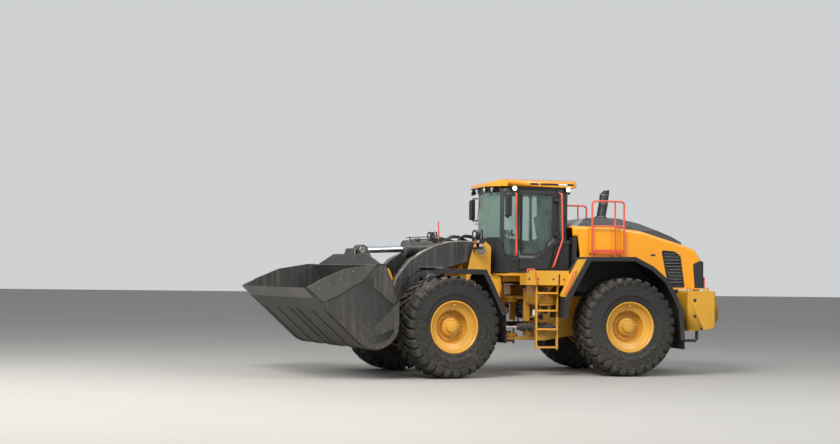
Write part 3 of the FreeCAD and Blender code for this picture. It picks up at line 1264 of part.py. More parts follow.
def bucket_shell():
    y = BUCKET_W / 2
    fz, a, m, b, knee, lip = bucket_wire(0)
    iz, ia, im, ib, iknee, ilip = bucket_wire(BUCKET_PLATE)
    front = BUCKET_TIP[0] - EDGE_L + 60

    def p(point):
        return vec(point[0], -y, point[1])
    edges = [
        Part.makeLine(p((front, fz)), p(a)), Part.Arc(p(a), p(m), p(b)).toShape(),
        Part.makeLine(p(b), p(knee)), Part.makeLine(p(knee), p(lip)), Part.makeLine(p(lip), p(ilip)),
        Part.makeLine(p(ilip), p(iknee)), Part.makeLine(p(iknee), p(ib)),
        Part.Arc(p(ib), p(im), p(ia)).toShape(), Part.makeLine(p(ia), p((front, iz))),
        Part.makeLine(p((front, iz)), p((front, fz))),
    ]
    return Part.Face(Part.Wire(edges)).extrude(vec(0, 2 * y, 0))


def bucket_side(y0, y1):
    fz, a, m, b, knee, lip = bucket_wire(0)
    front = (
        (1363, 738), (1739, 264), (1958, -192), (BUCKET_TIP[0] - 60, BUCKET_TIP[1] + EDGE_T))

    def p(point):
        return vec(point[0], y0, point[1])
    edges = [Part.makeLine(p((BUCKET_TIP[0] - EDGE_L, fz)), p(a)), Part.Arc(p(a), p(m), p(b)).toShape(),
             Part.makeLine(p(b), p(knee)), Part.makeLine(p(knee), p(lip))]
    last = lip
    for point in front:
        edges.append(Part.makeLine(p(last), p(point)))
        last = point
    edges.append(Part.makeLine(p(last), p((BUCKET_TIP[0] - EDGE_L, fz))))
    return Part.Face(Part.Wire(edges)).extrude(vec(0, y1 - y0, 0))


def bucket():
    y = BUCKET_W / 2
    shell = bucket_shell()
    sides = [bucket_side(y - BUCKET_SIDE_T, y), bucket_side(-y, -y + BUCKET_SIDE_T)]
    guard_way = math.radians(GUARD_LEAN)
    ux, uz = math.cos(guard_way), math.sin(guard_way)
    lip = BUCKET_LIP

    def g(h, w):
        return vec(lip[0] + 8 + ux * h, w, lip[1] - 12 + uz * h)
    rows = [(0, -GUARD_FOOT), (0, GUARD_FOOT), (GUARD_H, GUARD_TOP), (GUARD_H, TAB_HALF + 40),
            (GUARD_H + TAB_H, TAB_HALF), (GUARD_H + TAB_H, -TAB_HALF), (GUARD_H, -TAB_HALF - 40),
            (GUARD_H, -GUARD_TOP)]
    wire = Part.makePolygon([g(h, w) for h, w in rows] + [g(0, -GUARD_FOOT)])
    guard = Part.Face(wire).extrude(vec(-uz * GUARD_T, 0, ux * GUARD_T))
    return place_bucket(fuse([shell, guard] + sides))


def cutting_edge():
    y = BUCKET_W / 2
    z = BUCKET_TIP[1]
    outline = [(BUCKET_TIP[0], z), (BUCKET_TIP[0] - 70, z + EDGE_T), (BUCKET_TIP[0] - EDGE_L, z + EDGE_T),
               (BUCKET_TIP[0] - EDGE_L, z + BUCKET_PLATE + GAP),
               (BUCKET_TIP[0] - EDGE_L + 60 + GAP, z + BUCKET_PLATE + GAP),
               (BUCKET_TIP[0] - EDGE_L + 60 + GAP, z)]
    return plate(outline, -y + BUCKET_SIDE_T + GAP, y - BUCKET_SIDE_T - GAP)


def cutting_edges():
    """Cutting edge and the two side cutters."""
    y = BUCKET_W / 2
    outline = [(1363, 738), (1739, 264), (1958, -192), (2070, -455), (1660, -440), (1524, -138), (1454, 107),
               (1365, 330)]
    side = plate(outline, y + GAP, y + 16)
    return place_bucket(Part.makeCompound([cutting_edge(), side, flip(side)]))


def bracket_plates():
    """Ears round the arm ends and the two uprights, in the racked place."""
    pieces = []
    for side in (-1, 1):
        for y0, y1 in ((ARM_Y - ARM_T / 2 - 52, ARM_Y - ARM_T / 2 - 12),
                       (ARM_Y + ARM_T / 2 + 12, ARM_Y + ARM_T / 2 + 52)):
            ear = plate([
                (PIN_BUCKET[0] - 110, PIN_BUCKET[1] + 70, 60), (PIN_BUCKET[0] - 40, PIN_BUCKET[1] - 130, 90),
                (PIN_BUCKET[0] + 120, PIN_BUCKET[1] - 90, 40), (3300, 640), (3190, 800), (3085, 960),
            ], y0, y1)
            pieces.append(ear if side > 0 else flip(ear))
        upright = plate([
            (3060, 930), (2640, 1560, 60), (2590, 1700, 40), (2722, 1995, 30), (2868, 1955, 30),
            (3120, 1760), (3090, 1360), (3075, 1080),
        ], 285, 335)
        pieces.append(upright if side > 0 else flip(upright))
    return pieces


def attachment_bracket():
    """Carrier between the arm ends and the bucket back, as one welded piece."""
    pieces = bracket_plates()
    in_y = ARM_Y - ARM_T / 2 - 52
    out_y = ARM_Y + ARM_T / 2 + 52
    skin = bucket_volume(26).cut(bucket_volume(GAP))
    low = skin.common(block(2900, 3400, -out_y, out_y, 670, 1100))
    high = skin.common(block(2900, 3400, -335, 335, 1540, 1790))
    pieces += low.Solids + high.Solids
    link_half = ROCKER_T / 2 - FORK_T - 5
    for side in (-1, 1):
        y0 = link_half + 8
        ear = fuse(leg(PIN_LINK_FRONT, (3160, 830), LINK_R, 96, y0, y0 + 40))
        pieces.append(ear if side > 0 else flip(ear))
        foot = block(3040, 3110, min(side * 280, side * in_y), max(side * 280, side * in_y), 1000, 1030)
        pieces.append(foot)
    body = fuse(pieces).cut(bucket_volume(GAP))
    return body.cut(pin_y(PIN_BUCKET, PIN_R + CLEAR, -900, 900))


def bucket_volume(outset):
    """Space of the bucket and this much more behind it, to shape what lies against its back."""
    fz, a, m, b, knee, lip = bucket_wire(-outset)

    def p(point):
        return vec(point[0], -2000, point[1])
    edges = [Part.makeLine(p((2400, fz)), p(a)), Part.Arc(p(a), p(m), p(b)).toShape(),
             Part.makeLine(p(b), p(knee)), Part.makeLine(p(knee), p(lip)),
             Part.makeLine(p(lip), p((2400, lip[1]))), Part.makeLine(p((2400, lip[1])), p((2400, fz)))]
    return place_bucket(Part.Face(Part.Wire(edges)).extrude(vec(0, 4000, 0)))


def bucket_pins():
    pieces = []
    for side in (-1, 1):
        a = side * (ARM_Y - ARM_T / 2 - 60)
        b = side * (ARM_Y + ARM_T / 2 + 60)
        pieces.append(pin_y(PIN_BUCKET, PIN_R, min(a, b), max(a, b)))
    return Part.makeCompound(pieces)


def wheel_place(shape, x, side, front):
    done = shape.copy()
    if side < 0:
        done = done.mirror(ORIGIN, vec(0, 1, 0))
    done = done.translated(vec(x, side * TRACK / 2, TYRE_R))
    if front:
        done.rotate(ORIGIN, UP, STEER)
    return done


def build():
    """All nodes in the pivot frame, by name."""
    nodes = {
        "rear_frame": rear_frame(), "pivot_pins": pivot_pins(), "rear_axle": rear_axle(),
        "engine_block": engine_block(), "counterweight": counterweight(),
        "hood": hood(), "hood_cover": hood_cover(), "side_grilles": side_grilles(),
        "rear_grille": rear_grille(), "tail_lights": tail_lights(), "lamp_guards": lamp_guards(),
        "exhaust_stack": exhaust_stack(), "cab_frame": cab_frame(), "cab_glass": cab_glass(),
        "cab_door": cab_door(), "door_glass": door_glass(), "cab_skirts": cab_skirts(),
        "cab_roof": cab_roof(), "seat": seat(), "steering_column": steering_column(),
        "side_console": console(), "work_lamps": work_lamps(), "mirrors": mirrors(),
        "cab_deck": cab_deck(), "side_tanks": side_tanks(), "handrails": handrails(),
        "rear_fenders": both_sides(rear_fender()), "side_steps": side_steps(),
        "tail_stays": tail_stays(),
    }
    front = {
        "front_frame": front_frame(), "frame_pins": arm_pins(), "front_axle": front_axle(),
        "headlamps": headlamps(), "lift_arms": lift_arms(), "rocker_pin": rocker_pin(),
        "rocker": rocker(), "link": link(), "tilt_barrel": tilt_barrel(), "tilt_rod": tilt_rod(),
        "lift_barrels": lift_barrels(), "lift_rods": lift_rods(), "bucket": bucket(),
        "cutting_edges": cutting_edges(), "front_fenders": both_sides(front_fender()),
        "attachment_bracket": attachment_bracket(), "bucket_pins": bucket_pins(),
    }
    for side, word in ((1, "left"), (-1, "right")):
        nodes["steer_barrel_" + word] = steer_barrel(side)
        nodes["steer_rod_" + word] = steer_rod(side)
    for name, shape in front.items():
        turned = shape.copy()
        turned.rotate(ORIGIN, UP, STEER)
        nodes[name] = turned
    one_tyre = tyre()
    one_rim = rim()
    for x, end in ((AXLE, "front"), (-AXLE, "rear")):
        for side, word in ((1, "left"), (-1, "right")):
            nodes["tyre_%s_%s" % (end, word)] = wheel_place(one_tyre, x, side, end == "front")
            nodes["rim_%s_%s" % (end, word)] = wheel_place(one_rim, x, side, end == "front")
    return nodes


def footprint_shift(nodes):
    """Move that puts the origin at the middle of the footprint, on the ground."""
    box = FreeCAD.BoundBox()
    for shape in nodes.values():
        box.add(shape.BoundBox)
    return vec(-(box.XMin + box.XMax) / 2, -(box.YMin + box.YMax) / 2, -box.ZMin)


NODES = build()
SHIFT = footprint_shift(NODES)
os.makedirs("parts", exist_ok=True)
for name, shape in NODES.items():
    shape.translated(SHIFT).exportStep("parts/%s.step" % name)
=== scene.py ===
import json
import math
from contextlib import contextmanager

import bmesh
import bpy
from bpy.props import FloatProperty, FloatVectorProperty, IntProperty, PointerProperty
from mathutils import Matrix, Vector

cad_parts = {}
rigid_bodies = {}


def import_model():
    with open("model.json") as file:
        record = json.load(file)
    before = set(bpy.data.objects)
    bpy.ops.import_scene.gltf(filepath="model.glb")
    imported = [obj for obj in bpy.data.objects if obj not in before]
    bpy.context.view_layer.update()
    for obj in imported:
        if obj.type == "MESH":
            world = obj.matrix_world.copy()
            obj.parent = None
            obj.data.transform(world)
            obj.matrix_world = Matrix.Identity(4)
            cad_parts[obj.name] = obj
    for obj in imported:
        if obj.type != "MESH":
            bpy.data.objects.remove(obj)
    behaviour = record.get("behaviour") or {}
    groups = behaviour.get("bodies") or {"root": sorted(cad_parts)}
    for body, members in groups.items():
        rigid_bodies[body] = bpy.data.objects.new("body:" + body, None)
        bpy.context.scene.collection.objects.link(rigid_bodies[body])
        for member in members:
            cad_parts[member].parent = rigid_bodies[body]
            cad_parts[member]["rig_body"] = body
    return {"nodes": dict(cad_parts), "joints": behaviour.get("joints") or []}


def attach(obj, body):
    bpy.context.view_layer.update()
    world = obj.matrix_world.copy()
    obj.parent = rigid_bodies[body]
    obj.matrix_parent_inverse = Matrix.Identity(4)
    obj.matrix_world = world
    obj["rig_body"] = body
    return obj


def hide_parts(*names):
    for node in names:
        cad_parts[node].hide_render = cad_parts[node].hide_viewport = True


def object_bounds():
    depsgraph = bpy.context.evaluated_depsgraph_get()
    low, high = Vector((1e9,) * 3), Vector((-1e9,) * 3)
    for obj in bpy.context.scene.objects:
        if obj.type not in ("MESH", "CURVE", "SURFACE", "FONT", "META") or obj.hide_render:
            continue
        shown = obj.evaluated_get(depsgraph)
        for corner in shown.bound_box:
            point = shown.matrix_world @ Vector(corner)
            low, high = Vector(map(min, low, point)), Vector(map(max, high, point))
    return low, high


bl_info = {
    "name": "Articulated wheel loader",
    "version": (1, 0, 0),
    "blender": (4, 5, 0),
    "location": "3D View > Sidebar > Wheel loader",
    "description": "Detailed pieces and finishes of an articulated wheel loader",
    "category": "Object",
}

# The loader is written in millimetres from its articulation pivot on the ground:
# X forward, Y left, Z up. Front pieces are written straight ahead.
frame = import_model()
JOINTS = {joint["name"]: joint for joint in frame["joints"]}
PIVOT = Vector(JOINTS["articulation"]["pos_m"][:2] + [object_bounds()[0][2]])
STEER_AXIS = JOINTS["lift"]["axis"]
STEER = math.atan2(STEER_AXIS[0], -STEER_AXIS[1])
REAR = Matrix.Translation(PIVOT) @ Matrix.Scale(0.001, 4)
FRONT = REAR @ Matrix.Rotation(STEER, 4, "Z")

AXLE = 1935.0
TRACK = 2400.0
TYRE_R = 940.0
SIDES = (("left", 1), ("right", -1))
AHEAD, ASTERN, UP = (1, 0, 0), (-1, 0, 0), (0, 0, 1)
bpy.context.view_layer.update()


# Sizes and colours that a user would change

class LoaderSizes(bpy.types.PropertyGroup):
    lug_count: IntProperty(name="Lugs per side", description="Tread lugs on each half of a tyre",
                           default=30, min=18, max=40)
    lug_height: FloatProperty(name="Lug height", description="Depth of the tread in millimetres",
                              default=52.0, min=20.0, max=80.0)
    nut_count: IntProperty(name="Wheel nuts", description="Nuts in the ring of each wheel disc",
                           default=24, min=10, max=30)
    rail_radius: FloatProperty(name="Rail radius", description="Radius of the handrails in millimetres",
                               default=19.0, min=10.0, max=30.0)


def hex_colour(text):
    """sRGB hex text to a linear colour with alpha 1."""
    out = []
    for i in (0, 2, 4):
        value = int(text[i:i + 2], 16) / 255.0
        out.append(value / 12.92 if value <= 0.04045 else ((value + 0.055) / 1.055) ** 2.4)
    return (out[0], out[1], out[2], 1.0)


def colour_property(name, text, description):
    return FloatVectorProperty(name=name, description=description, subtype="COLOR", size=4,
                               min=0.0, max=1.0, default=hex_colour(text))


class LoaderColours(bpy.types.PropertyGroup):
    hood: colour_property("Hood", "F5A20E", "Orange yellow enamel of the hood")
    weight: colour_property("Castings", "DBA024", "Mustard enamel of counterweight, frames and steps")
    rim: colour_property("Rims", "DDA22E", "Mustard enamel of the wheels")
    arm: colour_property("Lift arms", "39393B", "Dark grey enamel of the linkage")
    bucket: colour_property("Bucket", "3E3D3C", "Dark grey enamel of the bucket")
    rail: colour_property("Rails", "DE5638", "Orange red enamel of the rails")
    plastic: colour_property("Plastic", "2A2A2B", "Moulded plastic of fenders and cladding")
    tyre: colour_property("Tyres", "2C2B2A", "Rubber of the tyres")
    dust: colour_property("Dust", "A79C8C", "Stone dust on upper faces")


# Finishes

def add(tree, kind, values=None, links=None, **settings):
    """Adds a node with its settings, socket values and links."""
    made = tree.nodes.new(kind)
    for key, value in settings.items():
        setattr(made, key, value)
    for key, value in (values or {}).items():
        made.inputs[key].default_value = value
    for key, (source, output) in (links or {}).items():
        tree.links.new(source.outputs[output], made.inputs[key])
    return made


def new_material(name):
    material = bpy.data.materials.new(name)
    material.use_nodes = True
    tree = material.node_tree
    tree.nodes.clear()
    return material, tree


def grain(tree, coords, size_mm, detail=4.0, roughness=0.55):
    """Noise whose features are about size_mm wide."""
    return add(tree, "ShaderNodeTexNoise",
               {"Scale": 1000.0 / size_mm, "Detail": detail, "Roughness": roughness},
               {"Vector": (coords, "Object")})


def ramp(tree, source, output, low, high):
    """0 below low, 1 above high."""
    return add(tree, "ShaderNodeMapRange", {"From Min": low, "From Max": high}, {"Value": (source, output)},
               clamp=True)


def mix_colour(tree, factor, first, second):
    """Mix of two colours; first and second are colours or (node, output)."""
    made = add(tree, "ShaderNodeMix", data_type="RGBA")
    tree.links.new(factor[0].outputs[factor[1]], made.inputs[0])
    for index, item in ((6, first), (7, second)):
        if isinstance(item[0], bpy.types.Node):
            tree.links.new(item[0].outputs[item[1]], made.inputs[index])
        else:
            made.inputs[index].default_value = item
    return made


def times(tree, first, second):
    """Product of an output and an output or number."""
    made = add(tree, "ShaderNodeMath", operation="MULTIPLY")
    tree.links.new(first[0].outputs[first[1]], made.inputs[0])
    if isinstance(second, tuple):
        tree.links.new(second[0].outputs[second[1]], made.inputs[1])
    else:
        made.inputs[1].default_value = second
    return made


def shaded(tree, colour, gloss, bump, values):
    """Surface of a colour mix, a range of gloss and a relief, put on the material's output."""
    shader = add(tree, "ShaderNodeBsdfPrincipled", values,
                 {"Base Color": (colour, 2), "Roughness": (gloss, "Result"), "Normal": (bump, "Normal")})
    add(tree, "ShaderNodeOutputMaterial", links={"Surface": (shader, "BSDF")})


def darker(colour, share):
    return (colour[0] * share, colour[1] * share, colour[2] * share, 1.0)


def covered(tree, first, second):
    """The larger of two values from 0 to 1."""
    return add(tree, "ShaderNodeMath", links={0: (first, "Value"), 1: (second, "Value")},
               operation="MAXIMUM", use_clamp=True)


def weathered(name, base, rough, dusty=0.4, dust_size=260.0, shade=0.82, coat=0.0, metallic=0.0,
              relief_mm=1.2, relief_size=9.0, edge_mm=6.0, splash=0.35, streaks=0.0, specular=0.5,
              sheen=0.0):
    """Painted or moulded surface with uneven colour, dust on upward faces and splashes low down."""
    material, tree = new_material(name)
    dust = tuple(bpy.context.scene.loader_colours.dust)
    coords = add(tree, "ShaderNodeTexCoord")
    tone = ramp(tree, grain(tree, coords, 900.0, 3.0), "Fac", 0.35, 0.65)
    paint = mix_colour(tree, (tone, "Result"), base, darker(base, shade))

    normal = add(tree, "ShaderNodeSeparateXYZ", links={"Vector": (coords, "Normal")})
    upward = ramp(tree, normal, "Z", 0.25, 0.95)
    patchy = ramp(tree, grain(tree, coords, dust_size, 8.0, 0.65), "Fac", 0.38, 0.66)
    lying = times(tree, (times(tree, (upward, "Result"), (patchy, "Result")), "Value"), dusty)
    place = add(tree, "ShaderNodeSeparateXYZ", links={"Vector": (coords, "Object")})
    low = ramp(tree, place, "Z", 1.7, 0.3)
    speckled = ramp(tree, grain(tree, coords, 45.0, 9.0, 0.75), "Fac", 0.46, 0.68)
    sprayed = times(tree, (times(tree, (low, "Result"), (speckled, "Result")), "Value"), splash)
    cover = covered(tree, lying, sprayed)
    if streaks > 0:
        squeezed = add(tree, "ShaderNodeMapping", {"Scale": (14.0, 14.0, 0.9)},
                       {"Vector": (coords, "Object")})
        runs = add(tree, "ShaderNodeTexNoise", {"Scale": 1.0, "Detail": 5.0},
                   {"Vector": (squeezed, "Vector")})
        cover = covered(tree, cover, times(tree, (ramp(tree, runs, "Fac", 0.5, 0.75), "Result"), streaks))
    final = mix_colour(tree, (cover, "Value"), (paint, 2), dust)

    edge = add(tree, "ShaderNodeBevel", {"Radius": edge_mm / 1000.0}, samples=3)
    bump = add(tree, "ShaderNodeBump", {"Strength": 0.35, "Distance": relief_mm / 1000.0},
               {"Height": (grain(tree, coords, relief_size, 2.0), "Fac"), "Normal": (edge, "Normal")})
    gloss = add(tree, "ShaderNodeMapRange", {"To Min": rough, "To Max": min(1.0, rough + 0.4)},
                {"Value": (cover, "Value")})
    shaded(tree, final, gloss, bump,
           {"Metallic": metallic, "Coat Weight": coat, "Coat Roughness": 0.12,
            "Specular IOR Level": specular, "Sheen Weight": sheen})
    return material


def simple(name, base, rough, metallic=0.0, coat=0.0, grain_mm=6.0, relief_mm=0.2, spread=0.12, glow=0.0):
    """Clean surface with a fine unevenness of gloss and relief, and a warm white glow where it is lit."""
    material, tree = new_material(name)
    fine = grain(tree, add(tree, "ShaderNodeTexCoord"), grain_mm, 5.0)
    tint = mix_colour(tree, (fine, "Fac"), base, darker(base, 0.86))
    gloss = add(tree, "ShaderNodeMapRange", {"To Min": max(0.02, rough - spread), "To Max": rough + spread},
                {"Value": (fine, "Fac")})
    bump = add(tree, "ShaderNodeBump", {"Strength": 0.3, "Distance": relief_mm / 1000.0},
               {"Height": (fine, "Fac")})
    values = {"Metallic": metallic, "Coat Weight": coat, "Coat Roughness": 0.08}
    if glow > 0:
        values.update({"Emission Color": hex_colour("FFF6DC"), "Emission Strength": glow})
    shaded(tree, tint, gloss, bump, values)
    return material


def tinted_pane(name, base, rough):
    """Safety glass: mostly clear, with a reflection and a film of dust."""
    material, tree = new_material(name)
    film = grain(tree, add(tree, "ShaderNodeTexCoord"), 350.0, 6.0, 0.7)
    dusty = add(tree, "ShaderNodeMapRange",
                {"From Min": 0.4, "From Max": 0.8, "To Min": 0.05, "To Max": 0.16},
                {"Value": (film, "Fac")})
    clear = add(tree, "ShaderNodeBsdfTransparent", {"Color": (0.86, 0.93, 0.90, 1.0)})
    gloss = add(tree, "ShaderNodeBsdfPrincipled", {"Base Color": base, "Roughness": rough, "IOR": 1.52})
    bend = add(tree, "ShaderNodeFresnel", {"IOR": 1.6})
    weight = add(tree, "ShaderNodeMath", links={0: (bend, "Fac"), 1: (dusty, "Result")}, operation="ADD",
                 use_clamp=True)
    mixed = add(tree, "ShaderNodeMixShader", links={0: (weight, "Value"), 1: (clear, "BSDF"),
                                                    2: (gloss, "BSDF")})
    add(tree, "ShaderNodeOutputMaterial", links={"Surface": (mixed, "Shader")})
    return material


# Finish: slot it fills, function, colour (one of the user's by name, or hex), roughness, settings.
# Each comment says what the real surface gives the eye.
FINISHES = {
    # Sprayed two-coat enamel of the hood: even, glossy and a little orange, thin dust on flat tops
    "hood_enamel": ("hood_paint", weathered, "hood", 0.28, dict(
        dusty=0.05, coat=0.5, shade=0.93, relief_mm=0.25, relief_size=30.0, splash=0.15)),
    # Enamel over rough castings and plates: duller, uneven and dusty
    "cast_enamel": ("weight_paint", weathered, "weight", 0.45, dict(
        dusty=0.45, coat=0.2, shade=0.84, relief_mm=0.8, splash=0.5, streaks=0.12)),
    # Wheel enamel, stained brown by dust and brake dirt
    "rim_enamel": ("rim_paint", weathered, "rim", 0.42, dict(
        dusty=0.25, dust_size=120.0, shade=0.8, coat=0.25, relief_mm=0.4, splash=0.28)),
    # Dark grey enamel of the linkage, pale with stone dust on top
    "arm_enamel": ("arm_paint", weathered, "arm", 0.42, dict(
        dusty=0.5, shade=0.75, coat=0.15, relief_mm=0.7, splash=0.4, streaks=0.18)),
    # Painted highlight on the top edges of the lift arms: a pale band, with stone dust on it
    "arm_edge": ("arm_paint", weathered, "A8A39A", 0.5, dict(
        dusty=0.5, shade=0.78, relief_mm=0.6, splash=0.0)),
    # Scoured dark enamel of the bucket with packed dust
    "bucket_enamel": ("bucket_steel", weathered, "bucket", 0.5, dict(
        dusty=0.5, dust_size=420.0, shade=0.72, relief_mm=1.6, relief_size=22.0, splash=0.3,
        streaks=0.14, specular=0.3)),
    # Cutting edge steel, scoured bright by stone
    "worn_edge_steel": ("bucket_steel", weathered, "6A6864", 0.38, dict(
        dusty=0.2, shade=0.7, metallic=0.75, relief_mm=1.0, relief_size=30.0, splash=0.15,
        streaks=0.12)),
    # Black satin enamel of cab posts, tanks and lamp brackets
    "chassis_enamel": ("cab_paint", weathered, "232325", 0.38, dict(
        dusty=0.3, shade=0.8, coat=0.25, relief_mm=0.4, splash=0.25)),
    # Grained black plastic of fenders and cladding, greyed by dust
    "moulded_plastic": ("black_plastic", weathered, "plastic", 0.55, dict(
        dusty=0.6, shade=0.8, relief_mm=0.8, relief_size=4.0, splash=0.3, specular=0.3)),
    # Glossy dark grey cover on the hood
    "cover_moulding": ("cover_plastic", weathered, "4A4B4F", 0.3, dict(
        dusty=0.06, shade=0.85, coat=0.3, relief_mm=0.2, relief_size=40.0, splash=0.0, edge_mm=14.0)),
    # Light grey on the cover's front piece, where it is a painted highlight, and light grey plastic of the
    # cab's lining
    "pale_plastic": ("cover_plastic", weathered, "8D8E90", 0.35, dict(
        dusty=0.35, shade=0.88, coat=0.3, relief_mm=0.2, splash=0.0)),
    # Grey iron casting under dark paint and packed dirt
    "axle_casting": ("casting", weathered, "4C4640", 0.6, dict(
        dusty=0.7, shade=0.7, relief_mm=2.0, relief_size=12.0, splash=0.7)),
    # Cured tread rubber: dark flanks and stone dust ground into the lugs
    "tread_rubber": ("tyre_rubber", weathered, "tyre", 0.62, dict(
        dusty=0.38, dust_size=90.0, shade=0.72, relief_mm=1.4, relief_size=7.0, edge_mm=10.0,
        splash=0.22, specular=0.3)),
    # Orange red enamel of handrails
    "rail_enamel": ("rail_paint", weathered, "rail", 0.35, dict(
        dusty=0.15, coat=0.3, shade=0.88, relief_mm=0.2, splash=0.2, edge_mm=3.0)),
    # Hydraulic hose cover: black, slightly ribbed
    "hose_rubber": ("black_plastic", weathered, "1D1D1E", 0.5, dict(
        dusty=0.45, relief_mm=0.8, relief_size=5.0, splash=0.3, edge_mm=2.0)),
    # Heat resistant black paint, greyed on top
    "exhaust_paint": ("exhaust_steel", weathered, "2B2B2D", 0.5, dict(
        dusty=0.35, relief_mm=0.4, splash=0.0)),
    # Woven seat cloth, dark grey; the 3 mm weave is drawn as coarse as it can show
    "seat_cloth": ("seat_fabric", weathered, "2E2E31", 0.85, dict(
        dusty=0.1, relief_mm=1.2, relief_size=5.0, splash=0.0, edge_mm=20.0, sheen=0.4)),
    # Brown copper tone of the accumulators in the hitch
    "bronze_paint": ("cylinder_paint", weathered, "A5683A", 0.4, dict(
        dusty=0.4, coat=0.2, relief_mm=0.4)),
    # Ground hard chrome of the cylinder rods
    "hard_chrome": ("rod_chrome", simple, "D8DBDF", 0.16, dict(
        metallic=1.0, grain_mm=3.0, relief_mm=0.05, spread=0.06)),
    # Turned steel of pins and nuts
    "machined_steel": ("pin_steel", simple, "8E8C88", 0.42, dict(metallic=0.9, grain_mm=8.0)),
    # Bright vacuum-coated reflector behind a clear lens
    "lamp_reflector": ("lamp_housing", simple, "F4F1E6", 0.12,
                       dict(metallic=0.55, coat=1.0, grain_mm=18.0)),
    # Moulded red acrylic lens
    "red_acrylic": ("red_lens", simple, "B01712", 0.18, dict(coat=1.0, grain_mm=12.0)),
    # Smoked polycarbonate cover of the rear lamps, nearly black and very glossy
    "smoked_lens": ("red_lens", simple, "121214", 0.12, dict(
        coat=1.0, grain_mm=40.0, relief_mm=0.05, spread=0.05)),
    # Lit lamp lens: white glow behind moulded ribs
    "lit_lens": ("lamp_housing", simple, "FFF8E6", 0.2, dict(coat=1.0, grain_mm=10.0, glow=2.5)),
    # Moulded amber acrylic lens
    "amber_lens": ("lamp_housing", simple, "E8860F", 0.2, dict(coat=1.0, grain_mm=12.0)),
    # Bare printed plate, white, without text
    "white_plate": ("lamp_housing", simple, "E9E7E0", 0.4, dict(coat=0.2, grain_mm=60.0)),
    # Silvered mirror glass
    "mirror_glass": ("lamp_housing", simple, "D5DADC", 0.04, dict(
        metallic=1.0, grain_mm=200.0, relief_mm=0.01, spread=0.02)),
    # Green tinted safety glass of the cab
    "cab_window": ("window_glass", tinted_pane, "A9BDB6", 0.04, {}),
}


def finish(name):
    """Finish by name, made once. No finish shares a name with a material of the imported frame."""
    colours = bpy.context.scene.loader_colours
    if name in bpy.data.materials:
        return bpy.data.materials[name]
    _, build, colour, rough, settings = FINISHES[name]
    own = colour in colours.bl_rna.properties
    base = tuple(getattr(colours, colour)) if own else hex_colour(colour)
    return build(name, base, rough, **settings)


# Shapes, in millimetres

MERGE_M = 0.00005     # corners of a CAD mesh that are closer than this are one
FRONT_BODIES = ("front_unit", "lift_arm", "rocker", "bucket", "tilt_barrel", "tilt_rod", "lift_barrels",
                "lift_rods")


def outline_face(bm, points, put):
    """Flat face through (u, v[, radius]) corners; put turns (u, v) into a 3-D point."""
    verts = [bm.verts.new(put(point[0], point[1])) for point in points]
    bm.faces.new(verts)
    rounded = []
    for i, point in enumerate(points):
        if len(point) == 3:
            here = verts[i].co
            first = verts[i - 1].co - here
            second = verts[(i + 1) % len(points)].co - here
            reach = point[2] / math.tan(first.angle(second) / 2)
            rounded.append((verts[i], min(reach, first.length * 0.49, second.length * 0.49)))
    for vert, reach in rounded:
        bmesh.ops.bevel(bm, geom=[vert], offset=reach, offset_type="OFFSET", segments=6, profile=0.5,
                        affect="VERTICES", material=-1)


def plate(bm, points, y0, y1, axis="Y"):
    """Flat plate: an outline in (x, z), (x, y) or (y, z) pulled along Y, Z or X from y0 to y1."""
    put = {"Y": lambda u, v: (u, y0, v), "Z": lambda u, v: (u, v, y0), "X": lambda u, v: (y0, u, v)}[axis]
    move = {"Y": (0, y1 - y0, 0), "Z": (0, 0, y1 - y0), "X": (y1 - y0, 0, 0)}[axis]
    part = bmesh.new()
    outline_face(part, points, put)
    part.faces.ensure_lookup_table()
    pulled = bmesh.ops.extrude_face_region(part, geom=part.faces[:], use_keep_orig=True)
    bmesh.ops.translate(part, vec=move,
                        verts=[v for v in pulled["geom"] if isinstance(v, bmesh.types.BMVert)])
    bmesh.ops.recalc_face_normals(part, faces=part.faces)
    join(bm, part)


def join(bm, part, matrix=None):
    """Adds a part mesh to bm, and frees it."""
    if matrix is not None:
        part.transform(matrix)
    mesh = bpy.data.meshes.new("part")
    part.to_mesh(mesh)
    part.free()
    bm.from_mesh(mesh)
    bpy.data.meshes.remove(mesh)


def rectangle(u0, u1, v0, v1, radius):
    """Outline of a rectangle with rounded corners."""
    return [(u0, v0, radius), (u0, v1, radius), (u1, v1, radius), (u1, v0, radius)]


def cuboid(bm, x0, x1, y0, y1, z0, z1, angle=0.0, axis="Y"):
    """Box between two corners, turned about its middle."""
    middle = Matrix.Translation(((x0 + x1) / 2, (y0 + y1) / 2, (z0 + z1) / 2))
    size = Matrix.Diagonal((abs(x1 - x0), abs(y1 - y0), abs(z1 - z0), 1.0))
    bmesh.ops.create_cube(bm, size=1.0, matrix=middle @ Matrix.Rotation(angle, 4, axis) @ size)


def barrel(bm, start, end, radius, end_radius=None, sides=32):
    """Round bar or cone between two points."""
    start, end = Vector(start), Vector(end)
    way = end - start
    turn = way.to_track_quat("Z", "Y").to_matrix().to_4x4()
    bmesh.ops.create_cone(bm, cap_ends=True, segments=sides, radius1=radius,
                          radius2=radius if end_radius is None else end_radius, depth=way.length,
                          matrix=Matrix.Translation((start + end) / 2) @ turn)


